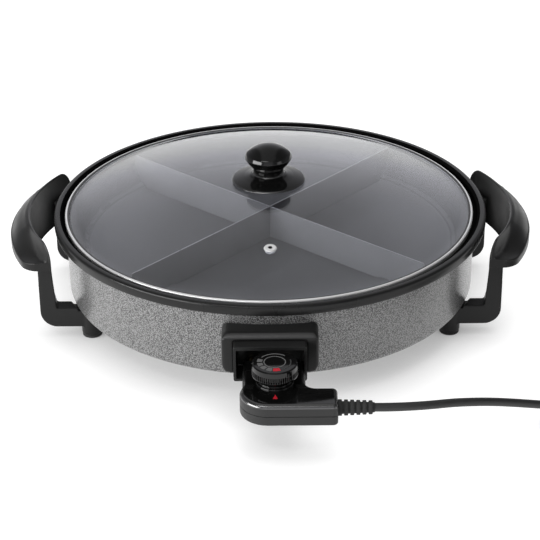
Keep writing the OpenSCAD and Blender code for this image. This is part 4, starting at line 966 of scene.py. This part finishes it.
# %% Finish the hidden parts
zinc = finish("zinc_plate", **grey(0.50, 0.62), rough=0.34, cloud=60.0, grain=1500.0, bump=0.08,
              Metallic=1.0)
heat_browned = finish("heat_browned_sheath", (0.20, 0.16, 0.13), (0.33, 0.28, 0.24), rough=0.42, cloud=45.0,
                      grain=1400.0, bump=0.12, Metallic=0.9)
cast_aluminium = finish("cast_aluminium", **grey(0.52, 0.64), rough=0.48, cloud=50.0, bump=0.2,
                        Metallic=1.0)
plated_brass = finish("plated_brass", (0.62, 0.50, 0.28), (0.74, 0.62, 0.38), rough=0.28, cloud=80.0,
                      grain=1500.0, bump=0.06, Metallic=1.0)
cream_ceramic = finish("cream_ceramic", (0.66, 0.62, 0.53), (0.75, 0.71, 0.62), rough=0.4, cloud=90.0,
                       grain=1300.0)
hidden = {zinc: ("base_plate", "spacer_tube", "pan_bolt", "socket_screws", "foot_screws", "foot_nuts",
                 "controller_screws", "dial_shaft"),
          bright_steel: ("knob_screw", "knob_washer", "probe_rod"),
          heat_browned: ("heating_element",),
          cast_aluminium: ("sensor_block",),
          plated_brass: ("terminal_pins", "contact_sleeves", "plug_pins"),
          cream_ceramic: ("terminal_bushes", "thermostat_block")}
for coat, solids in hidden.items():
    for solid in solids:
        slots = bpy.data.objects[solid].material_slots
        for one in slots:
            one.material = coat
        if not slots:
            bpy.data.objects[solid].data.materials.append(coat)
print("solids that stay:", sum(len(solids) for solids in hidden.values()))

# %% [markdown]
# ## The studio
# A pack shot stands on a white sweep. The floor here is a plain pale plane that takes the shadow; for
# the camera, and in reflections, it also glows a little, which lifts it to the white of the paper
# without more light on the pan. The world does the same for the backdrop: the camera sees plain white
# paper, while glass and polished plastic see a sheet that darkens towards the ceiling and the sides,
# which is what gives them their shape. Near the pan, ambient occlusion dims the floor's glow, which
# paints a contact shadow.

# %% Floor
FLOOR_GLOW, PAINTED_SHADOW_GLOW, PAINTED_SHADOW_REACH, FLOOR_SIZE = 0.9, 0.1, 0.055, 6.0
WHITE = (1.0, 1.0, 1.0, 1.0)

def white_sweep():
    made, nodes, wires, shader = blank_finish("white_sweep")
    fill(shader, {"Base Color": (0.45, 0.45, 0.45, 1.0), "Roughness": 0.9, "Specular IOR Level": 0.0,
                  "Emission Color": WHITE})
    rays = shader_node(nodes, "LightPath")
    seen = shader_node(nodes, "Math", operation="MAXIMUM")
    through = shader_node(nodes, "Math", operation="MAXIMUM")
    glow = shader_node(nodes, "Math", operation="MULTIPLY")
    # Painted shadow: ambient occlusion dims the floor's glow near the pan, its legs and the controller.
    painted_contact_shadow = shader_node(nodes, "AmbientOcclusion", {"Distance": PAINTED_SHADOW_REACH})
    fade = {"To Min": FLOOR_GLOW * PAINTED_SHADOW_GLOW, "To Max": FLOOR_GLOW}
    level = shader_node(nodes, "MapRange", fade)
    join(wires, (painted_contact_shadow, "AO", level, "Value"), (level, "Result", glow, 1),
         (rays, "Is Camera Ray", seen, 0), (rays, "Is Glossy Ray", seen, 1), (seen, 0, through, 0),
         (rays, "Is Transmission Ray", through, 1),
         (through, 0, glow, 0), (glow, 0, shader, "Emission Strength"))
    return made

floor_work = bmesh.new()
bmesh.ops.create_circle(floor_work, cap_ends=True, segments=96, radius=FLOOR_SIZE)
floor = stood("floor", floor_work)
floor.data.materials.append(white_sweep())
print("floor, metres across:", 2 * FLOOR_SIZE)

# %% World
world = bpy.data.worlds.new("studio_world")
scene.world = world
world.use_nodes = True
nodes, wires = world.node_tree.nodes, world.node_tree.links
nodes.clear()
out = shader_node(nodes, "OutputWorld")
room = shader_node(nodes, "Background", {"Color": WHITE, "Strength": 0.14})
paper = shader_node(nodes, "Background", {"Color": WHITE})
sheet = shader_node(nodes, "Background")
mix = shader_node(nodes, "MixShader")
shown = shader_node(nodes, "MixShader")
rays = shader_node(nodes, "LightPath")
seen = shader_node(nodes, "Math", operation="MAXIMUM")
place = shader_node(nodes, "TexCoord")
parts = shader_node(nodes, "SeparateXYZ")
fade = shader_node(nodes, "ValToRGB")
for stop, level in ((0.20, 0.98), (0.32, 0.84), (0.48, 0.64)):
    fade.color_ramp.elements.new(stop).color = (level, level, level * 1.05, 1.0)
for stop, spot, level in ((0, 0.10, 1.08), (-1, 0.80, 0.42)):
    fade.color_ramp.elements[stop].position = spot
    fade.color_ramp.elements[stop].color = (level, level, level, 1.0)
left_to_right = {"From Min": -0.7, "From Max": 0.7, "To Min": 1.05, "To Max": 0.75}
across = shader_node(nodes, "MapRange", left_to_right)
outward = shader_node(nodes, "Math", operation="ABSOLUTE")
middle_to_sides = {"From Min": 0.28, "From Max": 0.44, "To Min": 1.0, "To Max": 0.35}
sides = shader_node(nodes, "MapRange", middle_to_sides, interpolation_type="SMOOTHSTEP")
strength = shader_node(nodes, "Math", operation="MULTIPLY")
join(wires, (place, "Generated", parts, "Vector"), (parts, "Z", fade, "Fac"), (parts, "X", across, "Value"),
     (parts, "X", outward, 0), (outward, 0, sides, "Value"), (across, "Result", strength, 0),
     (sides, "Result", strength, 1), (strength, 0, sheet, "Strength"), (fade, "Color", sheet, "Color"),
     (rays, "Is Glossy Ray", seen, 0), (rays, "Is Transmission Ray", seen, 1), (seen, 0, mix, "Fac"),
     (room, "Background", mix, 1), (sheet, "Background", mix, 2), (rays, "Is Camera Ray", shown, "Fac"),
     (mix, "Shader", shown, 1), (paper, "Background", shown, 2), (shown, "Shader", out, "Surface"))
print("world nodes:", len(nodes))

# %% [markdown]
# ## Lamps
# A large soft box on the left does most of the work, a weak one fills from the right, and two hang
# above. The one overhead would show as a white patch on the glass, so reflections don't see it.

# %% Hang the lamps
LAMP_TARGET = Vector((0, PAN_Y * MM, 0.05))

def softbox(name, spot, width, height, watts):
    lamp = bpy.data.lights.new(name, "AREA")
    lamp.shape = "RECTANGLE"
    lamp.size, lamp.size_y = width, height
    lamp.energy = watts
    made = bpy.data.objects.new(name, lamp)
    scene.collection.objects.link(made)
    made.location = spot
    made.rotation_euler = (LAMP_TARGET - Vector(spot)).to_track_quat("-Z", "Y").to_euler()
    made.visible_transmission = False
    print(name, "watts:", watts)
    return made

softbox("key_softbox", (-1.9, -1.2, 0.75), 1.9, 0.8, 45.0)
softbox("fill_softbox", (1.9, -1.3, 0.7), 0.9, 0.6, 2.0)
softbox("front_softbox", (-0.7, -1.5, 2.2), 1.4, 0.4, 9.0)
softbox("top_softbox", (0.35, 0.2, 2.0), 1.5, 1.2, 14.0).visible_glossy = False
